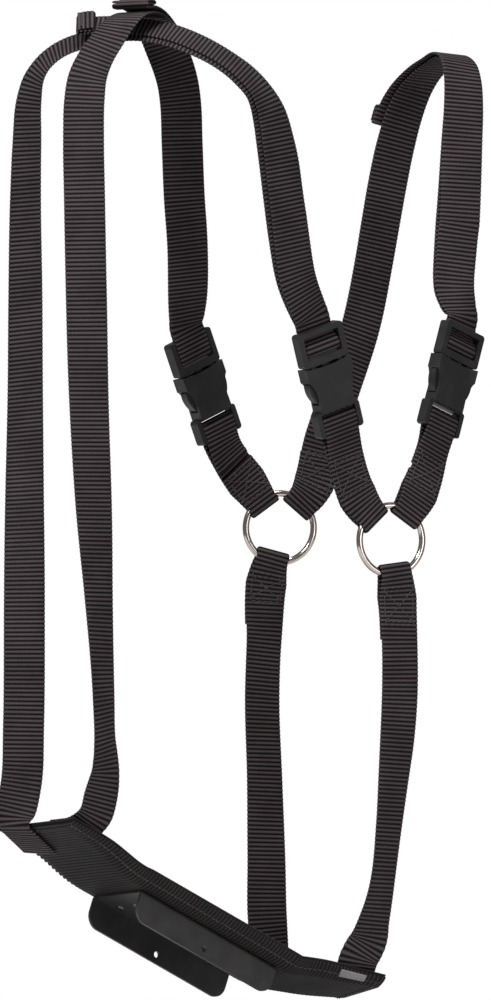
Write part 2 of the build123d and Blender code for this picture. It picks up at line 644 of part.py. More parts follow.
end_strap_rows = [
    lying(26, 21.5, FOOT_OUTER),
    lying(16, 19, FOOT_OUTER),
    lying(8, 17, FOOT_OUTER),
    lying(3, 15.5, FOOT_OUTER),
    (*on_band(-3.6, 14.5, 1.4), -0.65, -0.66, -0.32),
    (*on_band(-5.6, 14.5, -3.5), *FRONT_FACE),
    (-68.5, -36.0, -474.0, -0.20, -0.97, 0.05),
    (-66.0, -36.0, -459.0, -0.10, -1.00, 0),
    (-65.0, -35.0, -430.0, -0.05, -1.00, 0),
    (-64.5, -30.0, -351.5, -0.10, -1.00, 0),
    (-64.5, -21.0, -291.0, -0.33, -0.94, 0),
    (-64.2, -10.0, -230.0, -0.50, -0.86, 0),
    (-64.2, 0.0, -170.0, -0.56, -0.83, 0),
    (-64.2, 6.0, -109.0, -0.66, -0.75, 0),
    (-63.3, 9.0, -72.7, -0.72, -0.69, 0.02),
    (-62.0, 9.5, -48.5, -0.78, -0.60, 0.16),
    (-59.0, 9.0, -36.0, -0.80, -0.50, 0.35),
    (-54.2, 8.0, -27.9, -0.73, -0.43, 0.55),
    (-46.7, 6.5, -20.9, -0.55, -0.41, 0.74),
    (-37.9, 5.0, -16.1, -0.38, -0.41, 0.85),
    (-26.0, 3.5, -12.6, -0.22, -0.41, 0.90),
    (-8.0, 0.0, -9.0, -0.08, -0.41, 0.91),
    (5.0, -2.5, -8.6, 0.05, -0.42, 0.91),
    (20.0, -5.0, -11.0, 0.20, -0.42, 0.88),
    (38.8, -8.0, -17.8, 0.36, -0.42, 0.83),
    (57.0, -9.5, -28.0, 0.50, -0.42, 0.76),
    (67.0, -9.5, -36.0, 0.58, -0.46, 0.66),
    (75.0, -9.0, -45.0, 0.68, -0.50, 0.52),
    (81.0, -8.0, -58.0, 0.68, -0.65, 0.28),
    (84.5, -7.0, -73.0, 0.64, -0.75, 0.12),
    (86.7, -6.0, -85.0, 0.59, -0.80, 0.05),
    (90.0, -3.0, -109.0, 0.56, -0.83, 0),
    (93.6, 1.5, -133.0, 0.50, -0.86, 0),
    (98.5, 8.0, -157.5, 0.46, -0.88, 0),
    strap_into(buckles["middle"]),
]

edge_strap_rows = [
    lying(14, -10, FOOT_INNER),
    lying(14, -21, FOOT_INNER),
    lying(14, -26, FOOT_INNER),
    over_edge(14, -1, 5.5),
    (-18.2, -59.0, -469.0, 0.61, -0.79, 0),
    (-15.6, -59.0, -455.0, 0.74, -0.67, 0),
    (-15.8, -62.0, -436.0, 0.86, -0.50, 0),
    (-16.4, -65.0, -412.0, 0.86, -0.50, 0),
    (-19.4, -62.0, -351.5, 0.75, -0.66, 0),
    (-22.7, -56.0, -291.0, 0.48, -0.88, 0),
    (-25.5, -49.0, -230.0, 0.30, -0.95, 0),
    (-27.0, -43.0, -170.0, 0.08, -1.00, 0),
    (-28.2, -37.0, -109.0, 0, -1.00, 0),
    (-28.8, -33.0, -72.7, -0.10, -1.00, 0.05),
    (-28.2, -30.0, -48.5, -0.20, -0.95, 0.15),
    (-26.5, -28.0, -36.4, -0.30, -0.90, 0.30),
    (-21.5, -26.0, -24.2, -0.35, -0.80, 0.50),
    (-14.5, -22.5, -13.3, -0.35, -0.70, 0.62),
    (-7.0, -15.5, -2.9, -0.30, -0.50, 0.80),
    (0.5, -3.0, 2.8, -0.12, -0.15, 1.00),
    (8.5, 12.0, 1.7, 0.10, 0.30, 0.95),
    (15.5, 24.0, -7.0, 0.20, 0.80, 0.60),
    (20.0, 31.0, -16.5, 0.15, 0.95, 0.30),
    (24.5, 36.0, -27.0, 0, 1.00, 0.10),
    (27.9, 41.5, -39.0, 0, 1.00, 0),
    (29.4, 46.0, -50.0, 0, 1.00, 0),
    (30.3, 55.0, -73.0, 0, 1.00, 0),
    (31.8, 68.0, -109.0, -0.05, 1.00, 0),
    (33.6, 77.0, -133.0, -0.20, 0.98, 0),
    (34.0, 91.0, -165.0, -0.32, 0.95, 0),
    strap_into(buckles["left"]),
]

girth_rows = [
    off_ring(left_ring_plane, 49, 0.0, -1),
    off_ring(left_ring_plane, 49, 9.0, -1),
    (116.4, 141.0, -254.5, -0.27, 0.96, 0),
    (124.2, 146.0, -230.3, -0.30, 0.95, 0),
    (139.7, 156.0, -181.8, -0.33, 0.94, 0),
    (147.0, 163.0, -145.5, -0.35, 0.94, 0),
    (151.2, 167.0, -121.2, -0.32, 0.95, 0),
    (155.5, 170.0, -97.0, -0.30, 0.95, 0),
    (160.6, 172.0, -72.7, -0.33, 0.94, 0.10),
    (166.7, 171.0, -52.0, -0.40, 0.85, 0.30),
    (172.5, 167.5, -39.5, -0.45, 0.70, 0.50),
    (180.0, 160.0, -29.5, -0.40, 0.50, 0.75),
    (188.0, 151.5, -23.5, -0.20, 0.25, 0.95),
    (195.0, 141.0, -21.0, 0.10, 0, 1.00),
    (199.5, 131.0, -24.5, 0.35, -0.40, 0.85),
    (201.7, 122.5, -34.0, 0.40, -0.80, 0.45),
    (202.0, 117.0, -48.5, 0.30, -0.93, 0.15),
    (200.5, 112.0, -72.7, 0.20, -0.98, 0),
    (198.0, 107.0, -109.0, 0.20, -0.98, 0),
    (195.6, 103.0, -140.0, 0.22, -0.97, 0),
    (195.2, 98.0, -163.0, 0.35, -0.93, 0),
    strap_into(buckles["right"]),
]

left_rear_rows = [
    off_ring(left_ring_plane, 255, 0.0, 1),
    off_ring(left_ring_plane, 255, 9.0, 1),
    (79.7, 128.0, -375.8, 0.52, -0.85, 0),
    (78.5, 124.0, -412.0, 0.54, -0.84, 0),
    (80.0, 118.0, -460.6, 0.51, -0.86, 0),
    (81.2, 112.0, -509.0, 0.38, -0.92, 0),
    (82.1, 109.0, -550.0, 0.30, -0.95, 0),
    over_edge(223, 1, 7.0),
    lying(223, 27, FOOT_INNER, -1),
    lying(223, 22, FOOT_INNER, -1),
    lying(223, 12, FOOT_INNER, -1),
]

right_rear_rows = [
    off_ring(right_ring_plane, 277, 0.0, 1),
    off_ring(right_ring_plane, 277, 9.0, 1),
    (161.8, 50.0, -375.8, 0.50, -0.87, 0),
    (161.8, 50.0, -412.0, 0.50, -0.87, 0),
    (160.3, 50.0, -436.0, 0.56, -0.83, 0),
    (157.9, 50.5, -460.6, 0.68, -0.73, 0),
    (155.5, 51.0, -484.8, 0.77, -0.64, 0),
    (149.1, 53.0, -533.3, 0.76, -0.65, 0),
    (145.5, 55.5, -548.0, 0.62, -0.78, 0),
    (142.5, 58.0, -559.0, 0.42, -0.91, 0),
    over_edge(248, -1, 5.0),
    lying(248, -27, FOOT_INNER - REAR_FOOT_LIFT),
    lying(248, -22, FOOT_INNER - REAR_FOOT_LIFT),
    lying(248, -12, FOOT_INNER - REAR_FOOT_LIFT),
]

end_strap = route(end_strap_rows)
edge_strap = route(edge_strap_rows)
girth_strap = route(girth_rows)
left_rear = route(left_rear_rows)
right_rear = route(right_rear_rows)


def fixed_run(frames):
    """The part of a strap above its turned end at a buckle."""
    return part_of(frames, 0, distances(frames)[-1] - STRAP_END_LENGTH - END_GAP)


def tail_run(frames, length):
    """The part of a strap that its free tail lies along, from the turned end back."""
    total = distances(frames)[-1]
    return part_of(frames, total - length, total - STRAP_END_LENGTH - END_GAP)[::-1]


middle_tail_frames = tail_run(end_strap, MIDDLE_TAIL)
left_tail_frames = tail_run(edge_strap, LEFT_TAIL)
right_tail_frames = tail_run(girth_strap, RIGHT_TAIL)

middle_tail_path = free_tail(middle_tail_frames, MIDDLE_TAIL_LIFT, MIDDLE_TAIL_SHIFT, -5.0)
left_tail_path = free_tail(left_tail_frames, LEFT_TAIL_LIFT, 0.0, 0.0)
right_tail_path = free_tail(right_tail_frames, RIGHT_TAIL_LIFT, RIGHT_TAIL_SHIFT, 5.0)

left_ring_width = width_near_ring(left_ring_plane.origin)
right_ring_width = width_near_ring(right_ring_plane.origin)


# ---------------------------------------------------------------- build and write every piece

rivets, washers = rivet_solids()

label_path = []
label_height = OUTER_THICKNESS / 2 + LABEL_LIFT + LABEL_THICKNESS / 2
for step in range(4):
    distance = LABEL_START + LABEL_LENGTH * step / 3
    edge_point = on_band(distance, -BAND_WIDTH / 2 + LABEL_INSET, label_height)
    inner_point = on_band(distance, -BAND_WIDTH / 2 + LABEL_INSET + LABEL_WIDTH, label_height)
    label_path.append(((edge_point + inner_point) * 0.5, (inner_point - edge_point).normalized()))

parts = {
    "chest_band": band_layer(0, OUTER_THICKNESS),
    "chest_band_lining": band_layer((OUTER_THICKNESS + LINING_THICKNESS) / 2 + BAND_GAP, LINING_THICKNESS),
    "crayon_holder": holder_solid(),
    "holder_rivets": rivets,
    "holder_washers": washers,
    "size_label": webbing(label_path, width=LABEL_WIDTH, thickness=LABEL_THICKNESS),
    "left_ring": ring_solid(left_ring_plane),
    "right_ring": ring_solid(right_ring_plane),
    "front_strap_to_middle": webbing(layer(fixed_run(end_strap), 0.0)),
    "front_strap_to_left": webbing(layer(fixed_run(edge_strap), 0.0)),
    "girth_strap": webbing(ring_end(fixed_run(girth_strap), side=1), end_width=left_ring_width),
    "middle_strap_end": webbing(turned_end(end_strap, buckles["middle"], MIDDLE_TAIL_SHIFT)),
    "left_strap_end": webbing(turned_end(edge_strap, buckles["left"], 0.0)),
    "right_strap_end": webbing(turned_end(girth_strap, buckles["right"], RIGHT_TAIL_SHIFT)),
    "middle_tail": webbing(hem(middle_tail_path, middle_tail_frames[-1][2])),
    "left_tail": webbing(hem(left_tail_path, left_tail_frames[-1][2])),
    "right_tail": webbing(hem(right_tail_path, right_tail_frames[-1][2])),
    "left_rear_strap": webbing(ring_end(left_rear), end_width=left_ring_width),
    "right_rear_strap": webbing(ring_end(right_rear), end_width=right_ring_width),
    "left_tab": webbing(tab_path(tabs["left"]), end_width=left_ring_width),
    "middle_tab": webbing(tab_path(tabs["middle"]), end_width=right_ring_width),
    "right_tab": webbing(tab_path(tabs["right"]), end_width=right_ring_width),
}

for name, plane in buckles.items():
    parts[name + "_clip"] = clip_solid(plane)
    parts[name + "_socket"] = socket_solid(plane)
    parts[name + "_prong_a"] = prong_solid(plane, 1)
    parts[name + "_prong_b"] = prong_solid(plane, -1)

os.makedirs("parts", exist_ok=True)
for name, part in parts.items():
    part.label = name
    export_step(part, "parts/" + name + ".step")
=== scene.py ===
import json
from math import cos, pi, sin, sqrt

import bpy
import numpy as np
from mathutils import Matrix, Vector

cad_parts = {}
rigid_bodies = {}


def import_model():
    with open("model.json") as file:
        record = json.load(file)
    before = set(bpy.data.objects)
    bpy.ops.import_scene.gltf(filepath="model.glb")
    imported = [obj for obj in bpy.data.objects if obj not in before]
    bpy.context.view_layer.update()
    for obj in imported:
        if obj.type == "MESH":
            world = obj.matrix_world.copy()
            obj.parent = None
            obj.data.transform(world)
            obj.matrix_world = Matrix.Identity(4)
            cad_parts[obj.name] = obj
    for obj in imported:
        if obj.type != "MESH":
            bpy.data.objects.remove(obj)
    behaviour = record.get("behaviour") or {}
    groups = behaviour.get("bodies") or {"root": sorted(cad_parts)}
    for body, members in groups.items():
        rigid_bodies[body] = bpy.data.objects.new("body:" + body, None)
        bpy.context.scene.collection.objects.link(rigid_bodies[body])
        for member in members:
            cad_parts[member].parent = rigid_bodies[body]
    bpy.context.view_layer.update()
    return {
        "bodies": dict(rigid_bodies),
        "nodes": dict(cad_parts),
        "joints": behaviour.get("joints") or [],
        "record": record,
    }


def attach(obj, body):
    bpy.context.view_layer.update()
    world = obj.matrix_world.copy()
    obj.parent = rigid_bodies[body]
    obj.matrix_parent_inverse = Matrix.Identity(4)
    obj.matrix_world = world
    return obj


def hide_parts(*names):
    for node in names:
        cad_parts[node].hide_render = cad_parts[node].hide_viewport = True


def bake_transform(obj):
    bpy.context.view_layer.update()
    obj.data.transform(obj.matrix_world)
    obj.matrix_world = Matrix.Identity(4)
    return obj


# Looks of the marking harness.  Lengths are in millimetres in the frame of the model, and a mesh is
# scaled to metres when it is made.  The straps and the band repeat the routes of the model's ribbons
# with ribs, selvedges and thread; the buckles, rings and holder are the model's own pieces.

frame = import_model()

MM = 0.001

# ---------------------------------------------------------------- sizes shared with the model

WEBBING_WIDTH = 25.0
WEBBING_THICKNESS = 1.7
LAYER_PITCH = 1.8            # distance between the middles of two layers of webbing that lie together
LAYER_HALF = LAYER_PITCH / 2
TURN_CLEARANCE = 0.15
SECTION_SPACING = 9.0
TURN_STEPS = 6
RING_LOOP_WIDTH = 20.0
LOOP_STRAIGHT = 4.0
LOOP_LENGTH = 26.0
SEWN_END = 44.0
HEM_LENGTH = 9.0
MIDDLE_TAIL = 262.0
LEFT_TAIL = 232.0
RIGHT_TAIL = 244.0
TAIL_LOOSE_PART = 31.0
MIDDLE_TAIL_LIFT = 6.0
LEFT_TAIL_LIFT = 2.5
RIGHT_TAIL_LIFT = 0.5
MIDDLE_TAIL_SHIFT = -3.0     # how far to one side of its strap a tail lies
RIGHT_TAIL_SHIFT = -2.0
RING_RADIUS = 21.0
WIRE_RADIUS = 2.0
RING_CHORD = 17.8
BUNCHED_LENGTH = 14.0        # over which webbing bunched into a ring spreads to its full width
BAND_WIDTH = 70.0
BAND_FLAT = 48.0
OUTER_THICKNESS = 2.0
LINING_THICKNESS = 1.2
BAND_GAP = 0.05
FOOT_LIFT = 0.7
REAR_FOOT_LIFT = 0.8
FOOT_OUTER = OUTER_THICKNESS / 2 + FOOT_LIFT + WEBBING_THICKNESS / 2
FOOT_INNER = -(OUTER_THICKNESS / 2 + LINING_THICKNESS + BAND_GAP + FOOT_LIFT + WEBBING_THICKNESS / 2)
BUCKLE_TOP = 33.0
MIDDLE_BAR_LOW = 19.2
MIDDLE_BAR_HIGH = 22.8
END_BAR_LOW = 29.6
BAR_HALF = 1.4
END_BAR_UNDERSIDE = -0.6
SOCKET_BAR_TOP = -22.3
SOCKET_BAR_LOW = -25.1
SOCKET_BAR_Y = (SOCKET_BAR_LOW + SOCKET_BAR_TOP) / 2
STRAP_END_LENGTH = 64.0
WIRE_SPREAD = WIRE_RADIUS + TURN_CLEARANCE + WEBBING_THICKNESS / 2
BAR_SPREAD = BAR_HALF * sqrt(2) + TURN_CLEARANCE + WEBBING_THICKNESS / 2
LABEL_START = 236.0
LABEL_LENGTH = 18.0
LABEL_WIDTH = 5.0
LABEL_THICKNESS = 0.5
LABEL_INSET = 0.5
LABEL_LIFT = 0.1

# ---------------------------------------------------------------- sizes of the visible detail

RIB_PITCH = 2.6
ROW_SPACING = RIB_PITCH / 6
RIB_DEPTH = 0.32
SELVEDGE_SCALLOP = 0.25      # how far each rib stands out at the webbing's edge
BAND_RIB_DEPTH = 0.22
THREAD_RADIUS = 0.42
STITCH_LENGTH = 2.9
STITCH_SPACING = 3.5
SEAM_INSET = 3.0             # from the webbing's edge to a seam
ROW_GAP = 1.9                # between the two rows of stitches at the end of a sewn box


class Place:
    """Where a ring or buckle sits: an origin and its own three directions."""

    def __init__(self, origin, x_dir, z_dir):
        self.origin = Vector(origin)
        self.x_dir = Vector(x_dir).normalized()
        self.z_dir = Vector(z_dir).normalized()
        self.y_dir = self.z_dir.cross(self.x_dir)

    def at(self, x, y, z):
        """The point x, y, z of this place."""
        return self.origin + self.x_dir * x + self.y_dir * y + self.z_dir * z


# ---------------------------------------------------------------- strap routes, as in the model

def smooth_samples(values, gaps, spacing):
    """Evenly spaced samples of a curve that passes smoothly through values set the given gaps apart."""
    slopes = [(values[1] - values[0]) * (1 / gaps[0])]
    for i in range(1, len(gaps)):
        back, ahead = gaps[i - 1], gaps[i]
        both = back + ahead
        slope_back = (values[i] - values[i - 1]) * (ahead / (back * both))
        slope_ahead = (values[i + 1] - values[i]) * (back / (ahead * both))
        slopes.append(slope_back + slope_ahead)
    slopes.append((values[-1] - values[-2]) * (1 / gaps[-1]))
    samples = []
    for i, gap in enumerate(gaps):
        steps = max(1, round(gap / spacing))
        for step in range(steps):
            t = step / steps
            start = values[i] * (2 * t**3 - 3 * t**2 + 1) + slopes[i] * (gap * (t**3 - 2 * t**2 + t))
            end = values[i + 1] * (3 * t**2 - 2 * t**3) + slopes[i + 1] * (gap * (t**3 - t**2))
            samples.append(start + end)
    samples.append(values[-1])
    return samples


def route(stations, spacing=SECTION_SPACING):
    """Frames (point, across, outward) along a strap given as rows of position and outward direction."""
    points = [Vector(row[:3]) for row in stations]
    outwards = [Vector(row[3:]).normalized() for row in stations]
    gaps = [(after - before).length for before, after in zip(points, points[1:])]
    samples = smooth_samples(points, gaps, spacing)
    faces = smooth_samples(outwards, gaps, spacing)
    frames = []
    for i, point in enumerate(samples):
        along = samples[min(i + 1, len(samples) - 1)] - samples[max(i - 1, 0)]
        across = along.cross(faces[i]).normalized()
        frames.append((point, across, across.cross(along).normalized()))
    return frames


def distances(frames):
    """Distance of each frame from the first, measured along the route."""
    total = 0.0
    result = [0.0]
    for before, after in zip(frames, frames[1:]):
        total += (after[0] - before[0]).length
        result.append(total)
    return result


def ramp(distance, start, end, low, high):
    """Value that goes evenly from low at the start distance to high at the end distance."""
    share = min(1.0, max(0.0, (distance - start) / (end - start)))
    return low + (high - low) * share


def middle_path(frames):
    """The path of a layer of webbing that lies on a route itself."""
    return [(point, across) for point, across, _ in frames]


def free_tail(frames, lift, shift_start, shift_end):
    """Path of a tail lying on its strap that lifts off over the last part and drifts to one side."""
    runs = distances(frames)
    lift_start = runs[-1] - TAIL_LOOSE_PART
    path = []
    for (point, across, outward), run in zip(frames, runs):
        offset = ramp(run, lift_start, runs[-1], LAYER_PITCH, LAYER_PITCH + lift)
        shift = ramp(run, 0, runs[-1], shift_start, shift_end)
        path.append((point + outward * offset + across * shift, across))
    return path


def frame_at(frames, distance):
    """The frame at a distance along a route."""
    runs = distances(frames)
    index = max(i for i in range(len(runs) - 1) if runs[i] <= distance)
    share = (distance - runs[index]) / (runs[index + 1] - runs[index])
    before, after = frames[index], frames[index + 1]
    return tuple(low + (high - low) * share for low, high in zip(before, after))


def part_of(frames, start, end):
    """The frames between two distances along a route, with a frame at each of them."""
    between = [frame for frame, run in zip(frames, distances(frames)) if start + 1 < run < end - 1]
    first = [frame_at(frames, start)] if start > 0 else [frames[0]]
    return first + between + [frame_at(frames, end)]


def half_turn(centre, across, outward, radius, onward):
    """Path round a bar: from the outward side, past the onward side, to the inward side."""
    path = []
    for step in range(1, TURN_STEPS):
        angle = pi * step / TURN_STEPS
        path.append((centre + outward * (radius * cos(angle)) + onward * (radius * sin(angle)), across))
    return path


def spread_at(distance, end_spread):
    """Half the distance between a loop's two layers, this far from the bar or wire in the loop."""
    share = min(1.0, max(0.0, distance - LOOP_STRAIGHT) / (LOOP_LENGTH - LOOP_STRAIGHT))
    ease = (1 - share) ** 2 * (1 + 2 * share)
    return LAYER_HALF + (end_spread - LAYER_HALF) * ease


def width_near_ring(centre):
    """Width of webbing that is bunched into a ring at the given centre and spreads out away from it."""
    def width_at(point):
        share = min(1.0, max(0.0, ((point - centre).length - RING_RADIUS) / BUNCHED_LENGTH))
        return RING_LOOP_WIDTH + (WEBBING_WIDTH - RING_LOOP_WIDTH) * share
    return width_at


def ring_end(frames, side=-1):
    """Path that comes back from a sewn end, turns round the ring's wire and runs on along the route.

    side is -1 when the sewn-back layer lies inward of the strap and +1 when it lies outward.
    """
    runs = distances(frames)
    spread = [spread_at(run, WIRE_SPREAD) for run in runs]
    back = [
        (point + outward * (side * wide), across)
        for (point, across, outward), wide, run in zip(frames, spread, runs)
        if run <= SEWN_END
    ]
    front = [
        (point - outward * (side * wide), across)
        for (point, across, outward), wide in zip(frames, spread)
    ]
    point, across, outward = frames[0]
    onward = (point - frames[1][0]).normalized()
    turn = half_turn(point, across, outward * side, WIRE_SPREAD, onward)
    return back[::-1] + turn + front


def tab_path(frames):
    """Path of a webbing loop round a ring's wire at one end and a buckle's bar at the other."""
    runs = distances(frames)
    spread = [
        spread_at(run, WIRE_SPREAD) + spread_at(runs[-1] - run, BAR_SPREAD) - LAYER_HALF for run in runs
    ]
    front = [(point + outward * wide, across) for (point, across, outward), wide in zip(frames, spread)]
    back = [(point - outward * wide, across) for (point, across, outward), wide in zip(frames, spread)]
    ring_side = (frames[0][0] - frames[1][0]).normalized()
    bar_side = (frames[-1][0] - frames[-2][0]).normalized()
    ring_turn = half_turn(frames[0][0], frames[0][1], frames[0][2] * -1, spread[0], ring_side)
    bar_turn = half_turn(frames[-1][0], frames[-1][1], frames[-1][2], spread[-1], bar_side)
    lap = len(frames) // 2
    return back[:lap][::-1] + ring_turn + front + bar_turn + back[lap:][::-1]


def hem(path, outward):
    """Path with the last few millimetres folded over twice on the outward side."""
    (before, _), (last, across) = path[-2], path[-1]
    along = (last - before).normalized()
    level_1 = last + outward * LAYER_PITCH
    level_2 = last + outward * (2 * LAYER_PITCH)
    far_back = level_1 - along * HEM_LENGTH
    turn_1 = half_turn(last + outward * LAYER_HALF, across, outward * -1, LAYER_HALF, along)
    turn_2 = half_turn(far_back + outward * LAYER_HALF, across, outward * -1, LAYER_HALF, along * -1)
    rest = [(level_1, across), (far_back, across)] + turn_2
    rest += [(far_back + outward * LAYER_PITCH, across), (level_2, across)]
    return path + turn_1 + rest


def buckle_plane(centre, towards_clip, outward):
    """Place with X across a buckle, Y towards its clip and Z out of its outer face."""
    up = Vector(towards_clip).normalized()
    face = Vector(outward)
    face = (face - up * face.dot(up)).normalized()
    return Place(centre, up.cross(face), face)


def adjuster_turn(plane):
    """Path of webbing under the middle bar, round it and back under the end bar."""
    outer_layer = END_BAR_UNDERSIDE - TURN_CLEARANCE - WEBBING_THICKNESS / 2
    inner_layer = outer_layer - LAYER_PITCH
    low = MIDDLE_BAR_LOW + BAR_HALF
    high = MIDDLE_BAR_HIGH - BAR_HALF
    points = [(BUCKLE_TOP + 3, inner_layer), (MIDDLE_BAR_HIGH + 3, inner_layer)]
    for step in range(TURN_STEPS + 1):
        angle = pi * step / TURN_STEPS
        points.append((low - BAR_SPREAD * sin(angle), -BAR_SPREAD * cos(angle)))
    points.append((high, BAR_SPREAD))
    points.append((high + BAR_SPREAD * sin(pi / 4), BAR_SPREAD * cos(pi / 4)))
    points.append((END_BAR_LOW - 1.0, outer_layer))
    points.append((BUCKLE_TOP + 3, outer_layer))
    across = plane.x_dir * -1
    return [(plane.at(0, y, z), across) for y, z in points]


def strap_into(plane):
    """Station where a strap enters a buckle's adjuster."""
    inner_layer = END_BAR_UNDERSIDE - TURN_CLEARANCE - WEBBING_THICKNESS / 2 - LAYER_PITCH
    point = plane.at(0, BUCKLE_TOP + 5, inner_layer)
    return (*point, *plane.z_dir)


def turned_end(frames, plane, shift):
    """Path of a strap's last part: down to the adjuster, round its bar and back up as the tail.

    shift is how far to one side the tail lies by the time it leaves this part.
    """
    length = distances(frames)[-1]
    last = part_of(frames, length - STRAP_END_LENGTH, length - 0.01)
    back = []
    for (point, across, outward), run in zip(last, distances(last)):
        sideways = ramp(run, 0, STRAP_END_LENGTH, shift, 0)
        back.append((point + outward * LAYER_PITCH + across * sideways, across))
    return middle_path(last) + adjuster_turn(plane) + back[::-1]


# ---------------------------------------------------------------- rings

def ring_plane(centre, turned):
    """Place of a ring whose face is turned about the vertical by an angle in degrees."""
    angle = turned * pi / 180
    return Place(centre, (cos(angle), sin(angle), 0), (sin(angle), -cos(angle), 0))


def off_ring(plane, degrees, distance, outward):
    """Station on a strap that leaves a ring at an angle in its plane, this far beyond the loop's turn."""
    angle = degrees * pi / 180
    reach = RING_CHORD + distance
    point = plane.at(reach * cos(angle), reach * sin(angle), 0)
    return (*point, *(plane.z_dir * outward))


def tab_frames(ring, degrees, buckle, outward):
    """Route of the webbing loop from a ring to the bar of a buckle's socket."""
    stations = [off_ring(ring, degrees, 0.0, outward), off_ring(ring, degrees, 9.0, outward)]
    for y in (SOCKET_BAR_Y - 12.0, SOCKET_BAR_Y - 6.0, SOCKET_BAR_Y):
        stations.append((*buckle.at(0, y, 0), *buckle.z_dir))
    return route(stations, 4.0)


# ---------------------------------------------------------------- chest band

BAND_ALONG = Vector((0.715, 0.558, -0.424)).normalized()     # the way the holder and the flat part point
BAND_OUT = Vector((-0.268, -0.341, -0.900))                  # out of the band's outer face
BAND_MIDDLE = Vector((32.7, 25.9, -551.2))                   # middle of the band's straight part
BAND_STRAIGHT = 58.0                                         # half the length of the straight part

out_rows = tuple(BAND_OUT)
straight_stations = [
    (*(BAND_MIDDLE + BAND_ALONG * distance), *out_rows)
    for distance in (-BAND_STRAIGHT - 8, -BAND_STRAIGHT, 0, BAND_STRAIGHT, BAND_STRAIGHT + 8)
]
band_stations = [
    (-57.9, -45.0, -487.0, *out_rows),
    (-37.0, -28.5, -502.5, *out_rows),
    *straight_stations,
    (105.0, 77.0, -585.0, -0.15, -0.30, -0.94),
    (139.1, 92.0, -590.0, -0.08, -0.20, -0.98),
]
band_frames = route(band_stations, ROW_SPACING)
band_length = distances(band_frames)[-1]


def curl(distance, sideways):
    """How far the band's edges rise inward at a distance along it and a distance from its middle."""
    height = ramp(distance, 0, 70, 0.8, 7.0) - ramp(distance, band_length - 60, band_length, 0, 3.0)
    share = max(0.0, (abs(sideways) - BAND_FLAT / 2) / (BAND_WIDTH / 2 - BAND_FLAT / 2))
    return height * share**1.5


def on_band(distance, sideways, outward):
    """Point at a distance along the band, across it (+ is the far side) and out from its outer layer."""
    point, across, face = frame_at(band_frames, max(0.0, distance))
    along = face.cross(across).normalized()
    beyond = min(0.0, distance)
    return point + along * beyond + across * sideways + face * (outward - curl(distance, sideways))


def lying(distance, sideways, outward, side=1):
    """Station on a strap that lies on the band; side is +1 if its outer face looks out of the band."""
    return (*on_band(distance, sideways, outward), *(frame_at(band_frames, distance)[2] * side))


def over_edge(distance, side, lift):
    """Station on a strap that crosses the band's rim; side is +1 at the far rim and -1 at the near rim."""
    across = frame_at(band_frames, distance)[1]
    return (*on_band(distance, side * BAND_WIDTH / 2, FOOT_INNER - lift), *(across * -1))


left_ring_plane = ring_plane((89.7, 132.0, -307.9), 10)
right_ring_plane = ring_plane((157.0, 52.0, -315.2), 25)

buckles = {
    "left": buckle_plane((43.0, 110.0, -221.8), (-0.31, -0.20, 0.93), (-0.656, 0.755, 0)),
    "middle": buckle_plane((118.8, 24.0, -218.2), (-0.22, -0.22, 0.955), (0.57, -0.82, 0)),
    "right": buckle_plane((193.3, 80.0, -217.6), (0.24, 0.21, 0.95), (0.73, -0.68, 0)),
}

tabs = {
    "left": tab_frames(left_ring_plane, 126, buckles["left"], -1),
    "middle": tab_frames(right_ring_plane, 132, buckles["middle"], 1),
    "right": tab_frames(right_ring_plane, 56, buckles["right"], 1),
}


# ---------------------------------------------------------------- long straps
# Each row is a point on the strap's middle line and the direction its outer face looks.

FRONT_FACE = (-0.50, -0.85, 0.15)

end_strap_rows = [
    lying(26, 21.5, FOOT_OUTER),
    lying(16, 19, FOOT_OUTER),
    lying(8, 17, FOOT_OUTER),
    lying(3, 15.5, FOOT_OUTER),
    (*on_band(-3.6, 14.5, 1.4), -0.65, -0.66, -0.32),
    (*on_band(-5.6, 14.5, -3.5), *FRONT_FACE),
    (-68.5, -36.0, -474.0, -0.20, -0.97, 0.05),
    (-66.0, -36.0, -459.0, -0.10, -1.00, 0),
    (-65.0, -35.0, -430.0, -0.05, -1.00, 0),
    (-64.5, -30.0, -351.5, -0.10, -1.00, 0),
    (-64.5, -21.0, -291.0, -0.33, -0.94, 0),
    (-64.2, -10.0, -230.0, -0.50, -0.86, 0),
    (-64.2, 0.0, -170.0, -0.56, -0.83, 0),
    (-64.2, 6.0, -109.0, -0.66, -0.75, 0),
    (-63.3, 9.0, -72.7, -0.72, -0.69, 0.02),
    (-62.0, 9.5, -48.5, -0.78, -0.60, 0.16),
    (-59.0, 9.0, -36.0, -0.80, -0.50, 0.35),
    (-54.2, 8.0, -27.9, -0.73, -0.43, 0.55),
    (-46.7, 6.5, -20.9, -0.55, -0.41, 0.74),
    (-37.9, 5.0, -16.1, -0.38, -0.41, 0.85),
    (-26.0, 3.5, -12.6, -0.22, -0.41, 0.90),
    (-8.0, 0.0, -9.0, -0.08, -0.41, 0.91),
    (5.0, -2.5, -8.6, 0.05, -0.42, 0.91),
    (20.0, -5.0, -11.0, 0.20, -0.42, 0.88),
    (38.8, -8.0, -17.8, 0.36, -0.42, 0.83),
    (57.0, -9.5, -28.0, 0.50, -0.42, 0.76),
    (67.0, -9.5, -36.0, 0.58, -0.46, 0.66),
    (75.0, -9.0, -45.0, 0.68, -0.50, 0.52),
    (81.0, -8.0, -58.0, 0.68, -0.65, 0.28),
    (84.5, -7.0, -73.0, 0.64, -0.75, 0.12),
    (86.7, -6.0, -85.0, 0.59, -0.80, 0.05),
    (90.0, -3.0, -109.0, 0.56, -0.83, 0),
    (93.6, 1.5, -133.0, 0.50, -0.86, 0),
    (98.5, 8.0, -157.5, 0.46, -0.88, 0),
    strap_into(buckles["middle"]),
]

